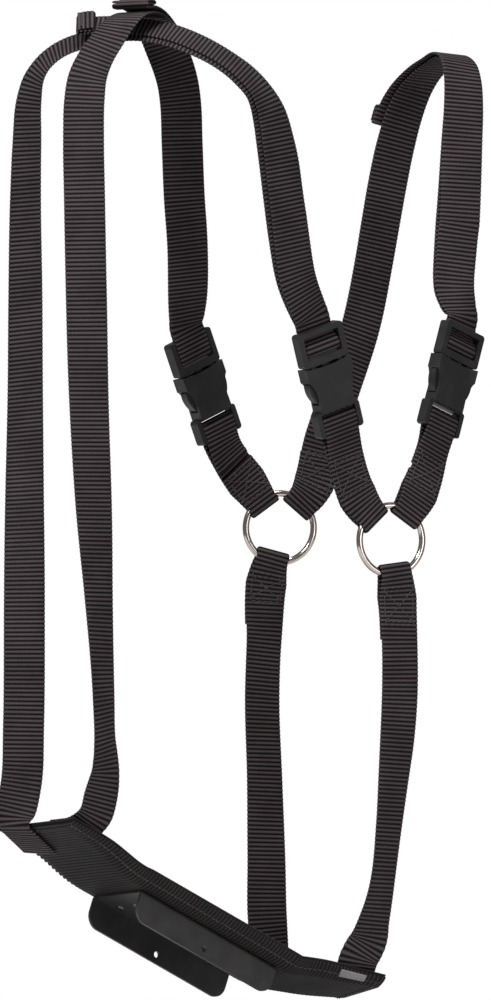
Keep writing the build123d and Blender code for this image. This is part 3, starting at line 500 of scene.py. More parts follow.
edge_strap_rows = [
    lying(14, -10, FOOT_INNER),
    lying(14, -21, FOOT_INNER),
    lying(14, -26, FOOT_INNER),
    over_edge(14, -1, 5.5),
    (-18.2, -59.0, -469.0, 0.61, -0.79, 0),
    (-15.6, -59.0, -455.0, 0.74, -0.67, 0),
    (-15.8, -62.0, -436.0, 0.86, -0.50, 0),
    (-16.4, -65.0, -412.0, 0.86, -0.50, 0),
    (-19.4, -62.0, -351.5, 0.75, -0.66, 0),
    (-22.7, -56.0, -291.0, 0.48, -0.88, 0),
    (-25.5, -49.0, -230.0, 0.30, -0.95, 0),
    (-27.0, -43.0, -170.0, 0.08, -1.00, 0),
    (-28.2, -37.0, -109.0, 0, -1.00, 0),
    (-28.8, -33.0, -72.7, -0.10, -1.00, 0.05),
    (-28.2, -30.0, -48.5, -0.20, -0.95, 0.15),
    (-26.5, -28.0, -36.4, -0.30, -0.90, 0.30),
    (-21.5, -26.0, -24.2, -0.35, -0.80, 0.50),
    (-14.5, -22.5, -13.3, -0.35, -0.70, 0.62),
    (-7.0, -15.5, -2.9, -0.30, -0.50, 0.80),
    (0.5, -3.0, 2.8, -0.12, -0.15, 1.00),
    (8.5, 12.0, 1.7, 0.10, 0.30, 0.95),
    (15.5, 24.0, -7.0, 0.20, 0.80, 0.60),
    (20.0, 31.0, -16.5, 0.15, 0.95, 0.30),
    (24.5, 36.0, -27.0, 0, 1.00, 0.10),
    (27.9, 41.5, -39.0, 0, 1.00, 0),
    (29.4, 46.0, -50.0, 0, 1.00, 0),
    (30.3, 55.0, -73.0, 0, 1.00, 0),
    (31.8, 68.0, -109.0, -0.05, 1.00, 0),
    (33.6, 77.0, -133.0, -0.20, 0.98, 0),
    (34.0, 91.0, -165.0, -0.32, 0.95, 0),
    strap_into(buckles["left"]),
]

girth_rows = [
    off_ring(left_ring_plane, 49, 0.0, -1),
    off_ring(left_ring_plane, 49, 9.0, -1),
    (116.4, 141.0, -254.5, -0.27, 0.96, 0),
    (124.2, 146.0, -230.3, -0.30, 0.95, 0),
    (139.7, 156.0, -181.8, -0.33, 0.94, 0),
    (147.0, 163.0, -145.5, -0.35, 0.94, 0),
    (151.2, 167.0, -121.2, -0.32, 0.95, 0),
    (155.5, 170.0, -97.0, -0.30, 0.95, 0),
    (160.6, 172.0, -72.7, -0.33, 0.94, 0.10),
    (166.7, 171.0, -52.0, -0.40, 0.85, 0.30),
    (172.5, 167.5, -39.5, -0.45, 0.70, 0.50),
    (180.0, 160.0, -29.5, -0.40, 0.50, 0.75),
    (188.0, 151.5, -23.5, -0.20, 0.25, 0.95),
    (195.0, 141.0, -21.0, 0.10, 0, 1.00),
    (199.5, 131.0, -24.5, 0.35, -0.40, 0.85),
    (201.7, 122.5, -34.0, 0.40, -0.80, 0.45),
    (202.0, 117.0, -48.5, 0.30, -0.93, 0.15),
    (200.5, 112.0, -72.7, 0.20, -0.98, 0),
    (198.0, 107.0, -109.0, 0.20, -0.98, 0),
    (195.6, 103.0, -140.0, 0.22, -0.97, 0),
    (195.2, 98.0, -163.0, 0.35, -0.93, 0),
    strap_into(buckles["right"]),
]

left_rear_rows = [
    off_ring(left_ring_plane, 255, 0.0, 1),
    off_ring(left_ring_plane, 255, 9.0, 1),
    (79.7, 128.0, -375.8, 0.52, -0.85, 0),
    (78.5, 124.0, -412.0, 0.54, -0.84, 0),
    (80.0, 118.0, -460.6, 0.51, -0.86, 0),
    (81.2, 112.0, -509.0, 0.38, -0.92, 0),
    (82.1, 109.0, -550.0, 0.30, -0.95, 0),
    over_edge(223, 1, 7.0),
    lying(223, 27, FOOT_INNER, -1),
    lying(223, 22, FOOT_INNER, -1),
    lying(223, 12, FOOT_INNER, -1),
]

right_rear_rows = [
    off_ring(right_ring_plane, 277, 0.0, 1),
    off_ring(right_ring_plane, 277, 9.0, 1),
    (161.8, 50.0, -375.8, 0.50, -0.87, 0),
    (161.8, 50.0, -412.0, 0.50, -0.87, 0),
    (160.3, 50.0, -436.0, 0.56, -0.83, 0),
    (157.9, 50.5, -460.6, 0.68, -0.73, 0),
    (155.5, 51.0, -484.8, 0.77, -0.64, 0),
    (149.1, 53.0, -533.3, 0.76, -0.65, 0),
    (145.5, 55.5, -548.0, 0.62, -0.78, 0),
    (142.5, 58.0, -559.0, 0.42, -0.91, 0),
    over_edge(248, -1, 5.0),
    lying(248, -27, FOOT_INNER - REAR_FOOT_LIFT),
    lying(248, -22, FOOT_INNER - REAR_FOOT_LIFT),
    lying(248, -12, FOOT_INNER - REAR_FOOT_LIFT),
]

end_strap = route(end_strap_rows)
edge_strap = route(edge_strap_rows)
girth_strap = route(girth_rows)
left_rear = route(left_rear_rows)
right_rear = route(right_rear_rows)


def fixed_run(frames):
    """The part of a strap above its turned end at a buckle."""
    return part_of(frames, 0, distances(frames)[-1] - STRAP_END_LENGTH)


def tail_run(frames, length):
    """The part of a strap that its free tail lies along, from the turned end back."""
    total = distances(frames)[-1]
    return part_of(frames, total - length, total - STRAP_END_LENGTH)[::-1]


middle_tail_frames = tail_run(end_strap, MIDDLE_TAIL)
left_tail_frames = tail_run(edge_strap, LEFT_TAIL)
right_tail_frames = tail_run(girth_strap, RIGHT_TAIL)

middle_tail_path = free_tail(middle_tail_frames, MIDDLE_TAIL_LIFT, MIDDLE_TAIL_SHIFT, -5.0)
left_tail_path = free_tail(left_tail_frames, LEFT_TAIL_LIFT, 0.0, 0.0)
right_tail_path = free_tail(right_tail_frames, RIGHT_TAIL_LIFT, RIGHT_TAIL_SHIFT, 5.0)

left_ring_width = width_near_ring(left_ring_plane.origin)
right_ring_width = width_near_ring(right_ring_plane.origin)

# ---------------------------------------------------------------- ribbons

def unit(vectors):
    """Each row of an array, scaled to length 1."""
    return vectors / np.linalg.norm(vectors, axis=1, keepdims=True)


class Ribbon:
    """Evenly spaced rows along the smooth curve through a path of (point, across)."""

    def __init__(self, path, width_at=None):
        points = [Vector(point) for point, _ in path]
        acrosses = [Vector(across) for _, across in path]
        gaps = [(after - before).length for before, after in zip(points, points[1:])]
        fine = np.array(smooth_samples(points, gaps, ROW_SPACING))
        fine_across = np.array(smooth_samples(acrosses, gaps, ROW_SPACING))
        steps = [max(1, round(gap / ROW_SPACING)) for gap in gaps]
        run = np.concatenate([[0.0], np.cumsum(np.linalg.norm(np.diff(fine, axis=0), axis=1))])
        self.stations = run[np.concatenate([[0], np.cumsum(steps)])]
        self.length = run[-1]
        self.runs = np.append(np.arange(0.0, self.length - ROW_SPACING / 2, ROW_SPACING), self.length)
        self.centre = self.resample(run, fine)
        along = unit(np.gradient(self.centre, self.runs, axis=0))
        across = self.resample(run, fine_across)
        across -= along * np.sum(across * along, axis=1, keepdims=True)
        self.across = unit(across)
        self.normal = np.cross(along, self.across)
        if width_at is None:
            self.half_width = np.full(len(self.runs), WEBBING_WIDTH / 2)
        else:
            self.half_width = np.array([width_at(Vector(point)) / 2 for point in self.centre])

    def resample(self, run, values):
        """Values given at uneven distances, read at the ribbon's own rows."""
        return np.stack([np.interp(self.runs, run, values[:, axis]) for axis in range(3)], axis=1)

    def at(self, distance, sideways, height):
        """Point and outward direction on the ribbon at a distance along it."""
        row = min(len(self.runs) - 1, int(np.searchsorted(self.runs, distance)))
        point = self.centre[row] + self.across[row] * sideways + self.normal[row] * height
        return point, self.normal[row]


def make_object(name, points, faces, layout=None):
    """Mesh object from points in millimetres; layout is a point's place on the cloth, for its texture."""
    mesh = bpy.data.meshes.new(name)
    mesh.from_pydata((np.asarray(points) * MM).tolist(), [], faces)
    if layout is not None:
        corners = np.empty(len(mesh.loops), dtype=np.int32)
        mesh.loops.foreach_get("vertex_index", corners)
        cloth_map = mesh.uv_layers.new(name="cloth")
        cloth_map.data.foreach_set("uv", np.asarray(layout, dtype=np.float32)[corners].ravel())
    mesh.polygons.foreach_set("use_smooth", [True] * len(mesh.polygons))
    mesh.validate()
    piece = bpy.data.objects.new(name, mesh)
    bpy.context.collection.objects.link(piece)
    return piece


def rib_height(distance):
    """Height of the ribs at a distance along webbing, from 0 in a groove to 1 on a rib."""
    return np.abs(np.sin(pi * distance / RIB_PITCH)) ** 0.8


def tube_faces(rows, ring):
    """Quads round a closed tube of rows of ring points, and strips that close its two flat ends."""
    faces = []
    for row in range(rows - 1):
        for corner in range(ring):
            after = (corner + 1) % ring
            low, high = row * ring, (row + 1) * ring
            faces.append((low + corner, low + after, high + after, high + corner))
    half = ring // 2
    last = (rows - 1) * ring
    for column in range(half - 1):
        below = ring - 1 - column
        faces.append((column, below, below - 1, column + 1))
        faces.append((last + column, last + column + 1, last + below - 1, last + below))
    return faces


def webbing(name, ribbon, start, end):
    """Ribbed webbing along part of a ribbon, with rounded selvedges that swell at each rib."""
    rows = np.flatnonzero((ribbon.runs >= start - ROW_SPACING / 2) & (ribbon.runs <= end + ROW_SPACING / 2))
    columns = np.array([-1.0, -0.985, -0.94, -0.86, -0.6, -0.3, 0.0, 0.3, 0.6, 0.86, 0.94, 0.985, 1.0])
    edge = np.sqrt(np.clip(1 - (np.clip(np.abs(columns) - 0.86, 0, None) / 0.14) ** 2, 0.12, 1))
    runs = ribbon.runs[rows]
    ribs = rib_height(runs)
    half_width = ribbon.half_width[rows] - SELVEDGE_SCALLOP * (1 - ribs)
    height = (WEBBING_THICKNESS / 2 - RIB_DEPTH * (1 - ribs))[:, None] * edge[None, :]
    sideways = half_width[:, None] * columns[None, :]
    middle = ribbon.centre[rows][:, None, :] + ribbon.across[rows][:, None, :] * sideways[:, :, None]
    rise = ribbon.normal[rows][:, None, :] * height[:, :, None]
    ring = np.concatenate([middle + rise, (middle - rise)[:, ::-1, :]], axis=1)
    across_layout = np.concatenate([columns, columns[::-1]]) * WEBBING_WIDTH / 2
    layout = np.stack(np.meshgrid(runs, across_layout, indexing="ij"), axis=-1)
    faces = tube_faces(len(rows), 2 * len(columns))
    return make_object(name, ring.reshape(-1, 3), faces, layout.reshape(-1, 2))


# ---------------------------------------------------------------- thread

def stitch_points(start, end, normal):
    """Corners of one stitch: a short thread that rises out of the cloth and goes back into it."""
    along = (end - start) / np.linalg.norm(end - start)
    sideways = np.cross(normal, along)
    points = []
    for step in range(5):
        share = step / 4
        rise = THREAD_RADIUS * (1.9 * sin(pi * share) - 0.9)
        centre = start + (end - start) * share + normal * rise
        for corner in range(6):
            angle = 2 * pi * corner / 6
            points.append(centre + (sideways * cos(angle) + normal * sin(angle)) * THREAD_RADIUS)
    return points


def seam(name, rows):
    """Rows of stitches; each row is a list of (point, normal) along its line."""
    points = []
    faces = []
    for row in rows:
        places = np.array([point for point, _ in row])
        normals = np.array([normal for _, normal in row])
        run = np.concatenate([[0.0], np.cumsum(np.linalg.norm(np.diff(places, axis=0), axis=1))])
        count = max(1, round(run[-1] / STITCH_SPACING))
        spacing = run[-1] / count
        for stitch in range(count):
            ends = spacing * (stitch + 0.5) + np.array([-0.5, 0.5]) * STITCH_LENGTH
            start, end = (np.array([np.interp(at, run, places[:, k]) for k in range(3)]) for at in ends)
            normal = np.array([np.interp(ends.mean(), run, normals[:, k]) for k in range(3)])
            first = len(points)
            points += stitch_points(start, end, normal / np.linalg.norm(normal))
            faces += [tuple(first + corner for corner in face) for face in tube_faces(5, 6)]
    return make_object(name, points, faces)


def seam_line(ribbon, corners, height):
    """Line on a ribbon's face through corners given as (distance, sideways), as (point, normal)."""
    line = []
    for (run_0, side_0), (run_1, side_1) in zip(corners, corners[1:]):
        steps = max(2, round(sqrt((run_1 - run_0) ** 2 + (side_1 - side_0) ** 2)))
        for step in range(steps + 1):
            share = step / steps
            run = run_0 + (run_1 - run_0) * share
            side = side_0 + (side_1 - side_0) * share
            point, normal = ribbon.at(run, side, height)
            line.append((point, normal * np.sign(height)))
    return line


def box_seam(ribbon, start, end, height):
    """Seam rows of a sewn box between two distances: its outline, a second row at each end and a cross."""
    side = WEBBING_WIDTH / 2 - SEAM_INSET
    first, last = start + ROW_GAP, end - ROW_GAP
    lines = [
        [(start, -side), (start, side)], [(end, -side), (end, side)],
        [(start, -side), (end, -side)], [(start, side), (end, side)],
        [(first, -side), (first, side)], [(last, -side), (last, side)],
        [(first, -side), (last, side)], [(first, side), (last, -side)],
    ]
    return [seam_line(ribbon, line, height) for line in lines]


FACE = WEBBING_THICKNESS / 2 - RIB_DEPTH / 2      # where a seam lies on the webbing's ribbed face


# ---------------------------------------------------------------- straps with a buckle

def buckled_strap(name, fixed, frames, buckle, shift, tail, tail_outward, width_at=None, boxes=()):
    """One length of webbing: the fixed run, the turned end at a buckle and the tail with its hem."""
    turned = turned_end(frames, buckles[buckle], shift)[1:]
    ribbon = Ribbon(fixed + turned + hem(tail, tail_outward)[1:], width_at)
    end_start = ribbon.stations[len(fixed) - 1]
    end_finish = ribbon.stations[len(fixed) + len(turned) - 1]
    run = webbing(name + "_webbing", ribbon, 0, end_start)
    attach(run, "harness")
    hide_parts(name)
    end = webbing(buckle + "_end_webbing", ribbon, end_start, end_finish)
    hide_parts(buckle + "_strap_end")
    loose = webbing(buckle + "_tail_webbing", ribbon, end_finish, ribbon.length)
    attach(loose, "harness")
    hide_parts(buckle + "_tail")
    for piece in (run, end, loose):
        piece.data.materials.append(webbing_material)
    entry = buckles[buckle].at(0, BUCKLE_TOP + 3, 0)
    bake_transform(end)
    dress_thread(seam(buckle + "_hem_thread", hem_rows(ribbon)))
    if boxes:
        sew_boxes(name, ribbon, boxes, side=1)


def hem_rows(ribbon):
    """Two rows of stitches across the hem, on its outer layer."""
    side = WEBBING_WIDTH / 2 - SEAM_INSET
    rows = []
    for inset in (2.5, HEM_LENGTH - 2.5):
        run = ribbon.length - inset
        rows.append(seam_line(ribbon, [(run, -side), (run, side)], FACE))
    return rows


def sew_boxes(name, ribbon, boxes, side):
    """Sewn boxes on the face of a ribbon on one side (1 or -1), each box given as (start, end)."""
    rows = []
    for start, end in boxes:
        rows += box_seam(ribbon, start, end, side * FACE)
    dress_thread(seam(name + "_thread", rows))


def dress_thread(piece):
    """Thread rides with the harness and has the thread's material."""
    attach(piece, "harness")
    piece.data.materials.append(thread_material)


def plain_strap(name, path, width_at, boxes):
    """A length of webbing fixed to the harness; boxes lists the (start, end) of its sewn boxes."""
    ribbon = Ribbon(path, width_at)
    piece = webbing(name + "_webbing", ribbon, 0, ribbon.length)
    piece.data.materials.append(webbing_material)
    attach(piece, "harness")
    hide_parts(name)
    sew_boxes(name, ribbon, boxes, side=-1)


# ---------------------------------------------------------------- materials

def add_node(tree, kind, *inputs, **settings):
    """New node with its first inputs linked or set in order."""
    node = tree.nodes.new(kind)
    for key, value in settings.items():
        setattr(node, key, value)
    for socket, value in zip(node.inputs, inputs):
        if isinstance(value, bpy.types.NodeSocket):
            tree.links.new(value, socket)
        elif value is not None:
            socket.default_value = value
    return node


def calc(tree, operation, *inputs):
    """Result of a math node."""
    return add_node(tree, "ShaderNodeMath", *inputs, operation=operation).outputs[0]


def mix_colour(tree, share, low, high):
    """Colour between low and high, each a colour or a node's colour output."""
    node = tree.nodes.new("ShaderNodeMix")
    node.data_type = "RGBA"
    tree.links.new(share, node.inputs[0])
    for socket, colour in ((node.inputs[6], low), (node.inputs[7], high)):
        if isinstance(colour, bpy.types.NodeSocket):
            tree.links.new(colour, socket)
        else:
            socket.default_value = (*colour, 1)
    return node.outputs[2]


def noise(tree, scale, detail=2.0, roughness=0.5):
    """Value of a noise texture laid in the object's own space."""
    place = add_node(tree, "ShaderNodeTexCoord").outputs["Object"]
    node = add_node(tree, "ShaderNodeTexNoise", place)
    node.inputs["Scale"].default_value = scale
    node.inputs["Detail"].default_value = detail
    node.inputs["Roughness"].default_value = roughness
    return node.outputs[0]


def waves(tree, distance, pitch):
    """Height from 0 to 1 of round-topped ridges a pitch apart."""
    return calc(tree, "ABSOLUTE", calc(tree, "SINE", calc(tree, "MULTIPLY", distance, pi / pitch)))


def surface(name, **constants):
    """Material with a Principled shader whose named sockets hold the given constants."""
    material = bpy.data.materials.new(name)
    material.use_nodes = True
    shader = material.node_tree.nodes["Principled BSDF"]
    for socket, value in constants.items():
        shader.inputs[socket.replace("_", " ")].default_value = value
    return material, material.node_tree, shader


def bump(tree, shader, height, strength, depth):
    """Fine relief of a surface, up to a depth in metres."""
    node = add_node(tree, "ShaderNodeBump")
    node.inputs["Strength"].default_value = strength
    node.inputs["Distance"].default_value = depth
    tree.links.new(height, node.inputs["Height"])
    tree.links.new(node.outputs[0], shader.inputs["Normal"])


def cloth_place(tree):
    """Distance along and across a piece of webbing, in millimetres."""
    split = add_node(tree, "ShaderNodeSeparateXYZ", add_node(tree, "ShaderNodeTexCoord").outputs["UV"])
    return split.outputs[0], split.outputs[1]


def ribbed_cloth(name, groove, rib, warp_pitch, weft_pitch, specular):
    """Ribbed webbing with painted shade in the grooves, painted light on the ribs and on the warp threads
    that cross them, a random tone and a little lint.
    """
    material, tree, shader = surface(
        name, Sheen_Weight=0.02, Sheen_Roughness=0.45, Specular_IOR_Level=specular)
    along, across = cloth_place(tree)
    ribs = waves(tree, along, weft_pitch)
    warp = waves(tree, across, warp_pitch)
    wear = noise(tree, 45.0, 3.0)
    lint = noise(tree, 900.0, 1.0)
    # Painted light and shade: the ribs are painted paler and the grooves darker, the crowns of the warp
    # threads paler still, all varied by a random tone.
    painted_light_and_tone = calc(tree, "MULTIPLY", calc(tree, "POWER", ribs, 2.4), calc(tree, "ADD", wear, 0.45))
    painted_light_and_tone = calc(tree, "MULTIPLY", painted_light_and_tone, calc(tree, "ADD", calc(tree, "MULTIPLY", warp, 0.35), 0.75))
    colour = mix_colour(tree, painted_light_and_tone, groove, rib)
    fleck = calc(tree, "GREATER_THAN", lint, 0.74)
    colour = mix_colour(tree, calc(tree, "MULTIPLY", fleck, 0.25), colour, (0.12, 0.11, 0.11))
    tree.links.new(colour, shader.inputs["Base Color"])
    rough = calc(tree, "ADD", calc(tree, "MULTIPLY", lint, 0.25), 0.5)
    tree.links.new(rough, shader.inputs["Roughness"])
    relief = calc(tree, "ADD", calc(tree, "MULTIPLY", warp, 0.6), calc(tree, "MULTIPLY", lint, 0.6))
    bump(tree, shader, relief, 0.5, 0.00012)
    return material


def plain_weave(name, dark, pale, pitch):
    """Plain woven tape: threads over and under each other, with painted light on the thread crossings and
    painted shade between them.
    """
    material, tree, shader = surface(name, Roughness=0.75, Sheen_Weight=0.1, Specular_IOR_Level=0.25)
    along, across = cloth_place(tree)
    cross = calc(tree, "MULTIPLY", waves(tree, along, pitch), waves(tree, across, pitch))
    # Painted light and shade: the crossings of the threads are painted paler and the hollows between them
    # darker, varied by a random tone.
    colour = mix_colour(tree, calc(tree, "MULTIPLY", cross, noise(tree, 60.0)), dark, pale)
    tree.links.new(colour, shader.inputs["Base Color"])
    bump(tree, shader, cross, 0.5, 0.0001)
    return material


def twisted_thread(name, dark, pale):
    """Sewing thread: two plies twisted together, with painted shade in the grooves between the plies and
    painted light on their crowns.
    """
    material, tree, shader = surface(name, Roughness=0.5, Sheen_Weight=0.1, Specular_IOR_Level=0.3)
    place = add_node(tree, "ShaderNodeTexCoord").outputs["Object"]
    plies = add_node(tree, "ShaderNodeTexWave", place, bands_direction="DIAGONAL")
    plies.inputs["Scale"].default_value = 700.0
    plies.inputs["Distortion"].default_value = 1.5
    # Painted light and shade: the crowns of the plies are painted paler and the grooves between them
    # darker.
    tree.links.new(mix_colour(tree, plies.outputs[1], dark, pale), shader.inputs["Base Color"])
    bump(tree, shader, plies.outputs[1], 0.5, 0.0001)
    return material


def moulded_plastic(name):
    """Moulded acetal: a fine spark-eroded grain with smoother, paler patches from handling."""
    material, tree, shader = surface(name, Roughness=0.42, Specular_IOR_Level=0.5)
    grain = noise(tree, 2600.0, 2.0, 0.6)
    handling = noise(tree, 70.0, 4.0, 0.6)
    scuffs = add_node(tree, "ShaderNodeMapRange", handling)
    scuffs.inputs["From Min"].default_value = 0.45
    scuffs.inputs["From Max"].default_value = 0.75
    colour = mix_colour(tree, scuffs.outputs[0], (0.016, 0.015, 0.016), (0.034, 0.032, 0.034))
    tree.links.new(colour, shader.inputs["Base Color"])
    rough = calc(tree, "ADD", calc(tree, "MULTIPLY", grain, 0.16), 0.32)
    rough = calc(tree, "SUBTRACT", rough, calc(tree, "MULTIPLY", scuffs.outputs[0], 0.08))
    tree.links.new(rough, shader.inputs["Roughness"])
    bump(tree, shader, grain, 0.18, 0.0001)
    return material


def plated_steel(name):
    """Polished nickel plate with faint drawing lines, and a warmer, duller bloom in places."""
    material, tree, shader = surface(name, Metallic=1.0, Roughness=0.16)
    bloom = noise(tree, 90.0, 4.0)
    lines = noise(tree, 1500.0, 2.0)
    colour = mix_colour(tree, bloom, (0.82, 0.74, 0.67), (0.50, 0.43, 0.37))
    tree.links.new(colour, shader.inputs["Base Color"])
    rough = calc(tree, "ADD", calc(tree, "MULTIPLY", bloom, 0.16), 0.08)
    tree.links.new(rough, shader.inputs["Roughness"])
    bump(tree, shader, lines, 0.05, 0.00003)
    return material


def coated_steel(name):
    """Satin black powder coat: orange-peel relief and small nicks that show paler."""
    material, tree, shader = surface(name, Roughness=0.36, Specular_IOR_Level=0.5, Coat_Weight=0.15)
    peel = noise(tree, 700.0, 2.0)
    dust = noise(tree, 55.0, 5.0, 0.65)
    nicks = calc(tree, "GREATER_THAN", noise(tree, 420.0, 1.0), 0.755)
    colour = mix_colour(tree, dust, (0.011, 0.010, 0.0105), (0.052, 0.047, 0.048))
    colour = mix_colour(tree, calc(tree, "MULTIPLY", nicks, 0.4), colour, (0.10, 0.10, 0.10))
    tree.links.new(colour, shader.inputs["Base Color"])
    rough = calc(tree, "ADD", calc(tree, "MULTIPLY", dust, 0.22), 0.26)
    tree.links.new(rough, shader.inputs["Roughness"])
    bump(tree, shader, peel, 0.12, 0.00008)
    return material


def darkened_steel(name):
    """Rivets: darkened steel with brighter worn patches here and there."""
    material, tree, shader = surface(name, Metallic=1.0, Roughness=0.35)
    struck = noise(tree, 500.0, 3.0)
    colour = mix_colour(tree, struck, (0.05, 0.047, 0.045), (0.22, 0.21, 0.20))
    tree.links.new(colour, shader.inputs["Base Color"])
    bump(tree, shader, struck, 0.3, 0.0001)
    return material


# The first two colours of each ribbed cloth are painted: the painted shade of its grooves and the painted
# light of its ribs.
webbing_material = ribbed_cloth(
    "ribbed_webbing", (0.0010, 0.0008, 0.0009), (0.088, 0.070, 0.074), 0.85, RIB_PITCH, 0.10)
band_material = ribbed_cloth(
    "ribbed_band", (0.0040, 0.0034, 0.0034), (0.036, 0.031, 0.030), 1.1, RIB_PITCH, 0.12)
# Each plain weave's two colours are the painted shade between its threads and the painted light on their
# crossings.
lining_material = plain_weave("lining_weave", (0.006, 0.0055, 0.0055), (0.026, 0.024, 0.024), 0.9)
label_material = plain_weave("label_weave", (0.20, 0.19, 0.19), (0.50, 0.49, 0.49), 0.35)
# The thread's two colours are the painted shade between its plies and the painted light on them.
thread_material = twisted_thread("sewing_thread", (0.010, 0.0085, 0.009), (0.085, 0.072, 0.076))
plastic_material = moulded_plastic("buckle_plastic")
ring_material = plated_steel("ring_plate")
holder_material = coated_steel("holder_coat")
rivet_material = darkened_steel("rivet_steel")


# ---------------------------------------------------------------- pieces of webbing

GIRTH_BOXES = ((58, 80), (2, 22))      # (start, end) on the near and on the far layer of its ring loop

buckled_strap(
    "front_strap_to_middle", middle_path(fixed_run(end_strap)), end_strap, "middle",
    MIDDLE_TAIL_SHIFT, middle_tail_path, middle_tail_frames[-1][2])
buckled_strap(
    "front_strap_to_left", middle_path(fixed_run(edge_strap)), edge_strap, "left",
    0.0, left_tail_path, left_tail_frames[-1][2])
buckled_strap(
    "girth_strap", ring_end(fixed_run(girth_strap), side=1), girth_strap, "right",
    RIGHT_TAIL_SHIFT, right_tail_path, right_tail_frames[-1][2], left_ring_width, GIRTH_BOXES)

# A sewn box shows on both layers of a loop, so each box is given twice: (start, end) on each layer.
plain_strap("left_rear_strap", ring_end(left_rear), left_ring_width, [(15, 32), (64, 81)])
plain_strap("right_rear_strap", ring_end(right_rear), right_ring_width, [(9, 32), (64, 87)])
plain_strap("left_tab", tab_path(tabs["left"]), left_ring_width, [(1, 21), (45, 65)])
plain_strap("middle_tab", tab_path(tabs["middle"]), right_ring_width, [(59, 82), (1, 11), (139, 151)])
plain_strap("right_tab", tab_path(tabs["right"]), right_ring_width, [(56, 79), (1, 10), (137, 149)])


# ---------------------------------------------------------------- chest band

def band_sheet(name, middle, thickness, depth, material):
    """One layer of the band, curled up along both edges, ribbed on the face that depth is given for."""
    runs = np.array(distances(band_frames))
    points = np.array([frame[0] for frame in band_frames])
    across = unit(np.array([frame[1] for frame in band_frames]))
    outward = unit(np.array([frame[2] for frame in band_frames]))
    half = BAND_WIDTH / 2
    share = np.linspace(-1, 1, 41)
    columns = half * np.sign(share) * np.abs(share) ** 0.8
    edge = np.sqrt(np.clip(1 - (np.clip(np.abs(columns) - (half - 1.2), 0, None) / 1.2) ** 2, 0.15, 1))
    curls = np.array([[curl(run, column) for column in columns] for run in runs])
    ribs = rib_height(runs)
    height = (thickness / 2 - depth * (1 - ribs))[:, None] * edge[None, :]
    flat = points[:, None, :] + across[:, None, :] * columns[None, :, None]
    level = -(middle + curls)
    top = flat + outward[:, None, :] * (level + height)[:, :, None]
    bottom = flat + outward[:, None, :] * (level - thickness / 2 * edge[None, :])[:, :, None]
    ring = np.concatenate([top, bottom[:, ::-1, :]], axis=1)
    across_layout = np.concatenate([columns, columns[::-1]])
    layout = np.stack(np.meshgrid(runs, across_layout, indexing="ij"), axis=-1)
    faces = tube_faces(len(runs), 2 * len(columns))
    piece = make_object(name + "_cloth", ring.reshape(-1, 3), faces, layout.reshape(-1, 2))
    piece.data.materials.append(material)
    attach(piece, "harness")
    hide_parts(name)
    return piece


band = band_sheet("chest_band", 0, OUTER_THICKNESS, BAND_RIB_DEPTH, band_material)
lining_middle = (OUTER_THICKNESS + LINING_THICKNESS) / 2 + BAND_GAP
lining = band_sheet("chest_band_lining", lining_middle, LINING_THICKNESS, 0, lining_material)


def band_line(corners):
    """Line on the band's outer face through corners given as (distance, sideways), as (point, normal)."""
    line = []
    for (run_0, side_0), (run_1, side_1) in zip(corners, corners[1:]):
        steps = max(2, round(sqrt((run_1 - run_0) ** 2 + (side_1 - side_0) ** 2) / 4))
        for step in range(steps + 1):
            share = step / steps
            run = run_0 + (run_1 - run_0) * share
            side = side_0 + (side_1 - side_0) * share
            line.append((on_band(run, side, OUTER_THICKNESS / 2), frame_at(band_frames, run)[2]))
    return line


rim = BAND_WIDTH / 2 - 4.0
band_seams = [
    band_line([(2, -rim), (band_length - 2, -rim)]),
    band_line([(2, rim), (band_length - 2, rim)]),
    band_line([(band_length - 4, -rim), (band_length - 4, rim)]),
    band_line([(4, -rim), (4, rim)]),
]
dress_thread(seam("band_thread", band_seams))


# ---------------------------------------------------------------- label

def label():
    """Blank woven label folded over the band's near rim."""
    points = []
    layout = []
    rows, columns = 13, 7
    height = OUTER_THICKNESS / 2 + LABEL_LIFT + LABEL_THICKNESS / 2
    for layer_sign in (1, -1):
        for row in range(rows):
            distance = LABEL_START + LABEL_LENGTH * row / (rows - 1)
            for column in range(columns):
                share = column / (columns - 1)
                if layer_sign < 0:
                    share = 1 - share
                sideways = -BAND_WIDTH / 2 + LABEL_INSET + LABEL_WIDTH * share
                crown = 0.12 * sin(pi * share) * layer_sign + layer_sign * LABEL_THICKNESS / 2
                points.append(on_band(distance, sideways, height + crown))
                layout.append((distance, sideways))
    ring = []
    ring_layout = []
    for row in range(rows):
        for layer_first in (0, rows * columns):
            first = layer_first + row * columns
            ring += points[first:first + columns]
            ring_layout += layout[first:first + columns]
    piece = make_object("size_label_cloth", ring, tube_faces(rows, 2 * columns), ring_layout)
    piece.data.materials.append(label_material)
    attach(piece, "harness")
    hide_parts("size_label")


label()


# ---------------------------------------------------------------- the model's own pieces

def dress(node, material, edge=0.0):
    """Give one of the model's pieces a material, and soft edges of a radius in metres."""
    piece = frame["nodes"][node]
    for material_slot in piece.material_slots:
        material_slot.link = "OBJECT"
        material_slot.material = material
    if edge:
        bevel = piece.modifiers.new("soft_edges", "BEVEL")
        bevel.width = edge
        bevel.segments = 3
        bevel.limit_method = "ANGLE"
        bevel.angle_limit = 0.6
        bevel.harden_normals = True


for name in buckles:
    dress(name + "_clip", plastic_material, 0.0006)
    dress(name + "_socket", plastic_material, 0.0006)
    dress(name + "_prong_a", plastic_material, 0.0004)
    dress(name + "_prong_b", plastic_material, 0.0004)
dress("left_ring", ring_material)
dress("right_ring", ring_material)
dress("crayon_holder", holder_material, 0.0003)
dress("holder_rivets", rivet_material)
dress("holder_washers", rivet_material)


# ---------------------------------------------------------------- floor, light and camera

def soft_light(name, place, target, size, power):
    """Square studio light that points at a target."""
    lamp = bpy.data.lights.new(name, "AREA")
    lamp.size = size
    lamp.energy = power
    light = bpy.data.objects.new(name, lamp)
    light.location = place
    light.rotation_euler = (Vector(target) - Vector(place)).to_track_quat("-Z", "Y").to_euler()
    bpy.context.collection.objects.link(light)


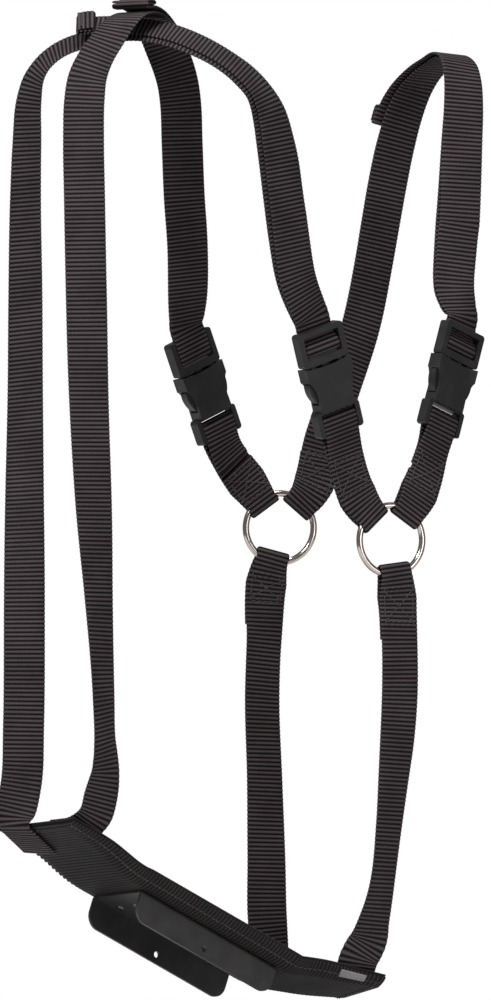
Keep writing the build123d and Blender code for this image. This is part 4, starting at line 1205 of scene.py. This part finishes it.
VIEW_CENTRE = Vector((0.0688, 0.04, -0.2909))
VIEW_HEIGHT = 1000 / 1.65 * MM
CAMERA_DISTANCE = 13.0
FLOOR_LEVEL = -0.625
FLOOR_RADIUS = 1.2
SKY_LIGHT = 0.17             # the camera sees a white sky, which lights the harness only this much

soft_light("key", (-0.9, -1.3, 0.9), VIEW_CENTRE, 0.5, 27)
soft_light("fill", (1.4, -1.4, -0.1), VIEW_CENTRE, 0.9, 8)
soft_light("top", (0.1, -0.2, 1.3), VIEW_CENTRE, 0.5, 14)
soft_light("low", (0.1, -1.3, -1.0), VIEW_CENTRE, 0.6, 3)

bpy.ops.mesh.primitive_circle_add(vertices=96, radius=FLOOR_RADIUS, fill_type="NGON")
floor = bpy.context.object
floor.name = "floor"
floor.location = (VIEW_CENTRE.x, VIEW_CENTRE.y, FLOOR_LEVEL)
floor_material, floor_tree, floor_shader = surface("floor_paper", Roughness=0.9)
floor_shade = mix_colour(floor_tree, noise(floor_tree, 3.0), (0.86, 0.86, 0.86), (0.90, 0.90, 0.90))
floor_tree.links.new(floor_shade, floor_shader.inputs["Base Color"])
floor.data.materials.append(floor_material)

world = bpy.data.worlds.new("studio")
world.use_nodes = True
bpy.context.scene.world = world
sky = world.node_tree.nodes["Background"]
sky.inputs["Color"].default_value = (1, 1, 1, 1)
bright = add_node(world.node_tree, "ShaderNodeLightPath").outputs["Is Camera Ray"]
extra = calc(world.node_tree, "MULTIPLY", bright, 1 - SKY_LIGHT)
strength = calc(world.node_tree, "ADD", extra, SKY_LIGHT)
world.node_tree.links.new(strength, sky.inputs["Strength"])

camera = bpy.data.objects.new("camera", bpy.data.cameras.new("camera"))
camera.data.lens = camera.data.sensor_width / 2 / (VIEW_HEIGHT / 2 / (CAMERA_DISTANCE + VIEW_CENTRE.y))
camera.data.clip_end = 40.0
camera.location = (VIEW_CENTRE.x, -CAMERA_DISTANCE, VIEW_CENTRE.z)
camera.rotation_euler = (pi / 2, 0, 0)
bpy.context.collection.objects.link(camera)
bpy.context.scene.camera = camera
bpy.context.scene.view_settings.view_transform = "Standard"

bpy.context.view_layer.update()
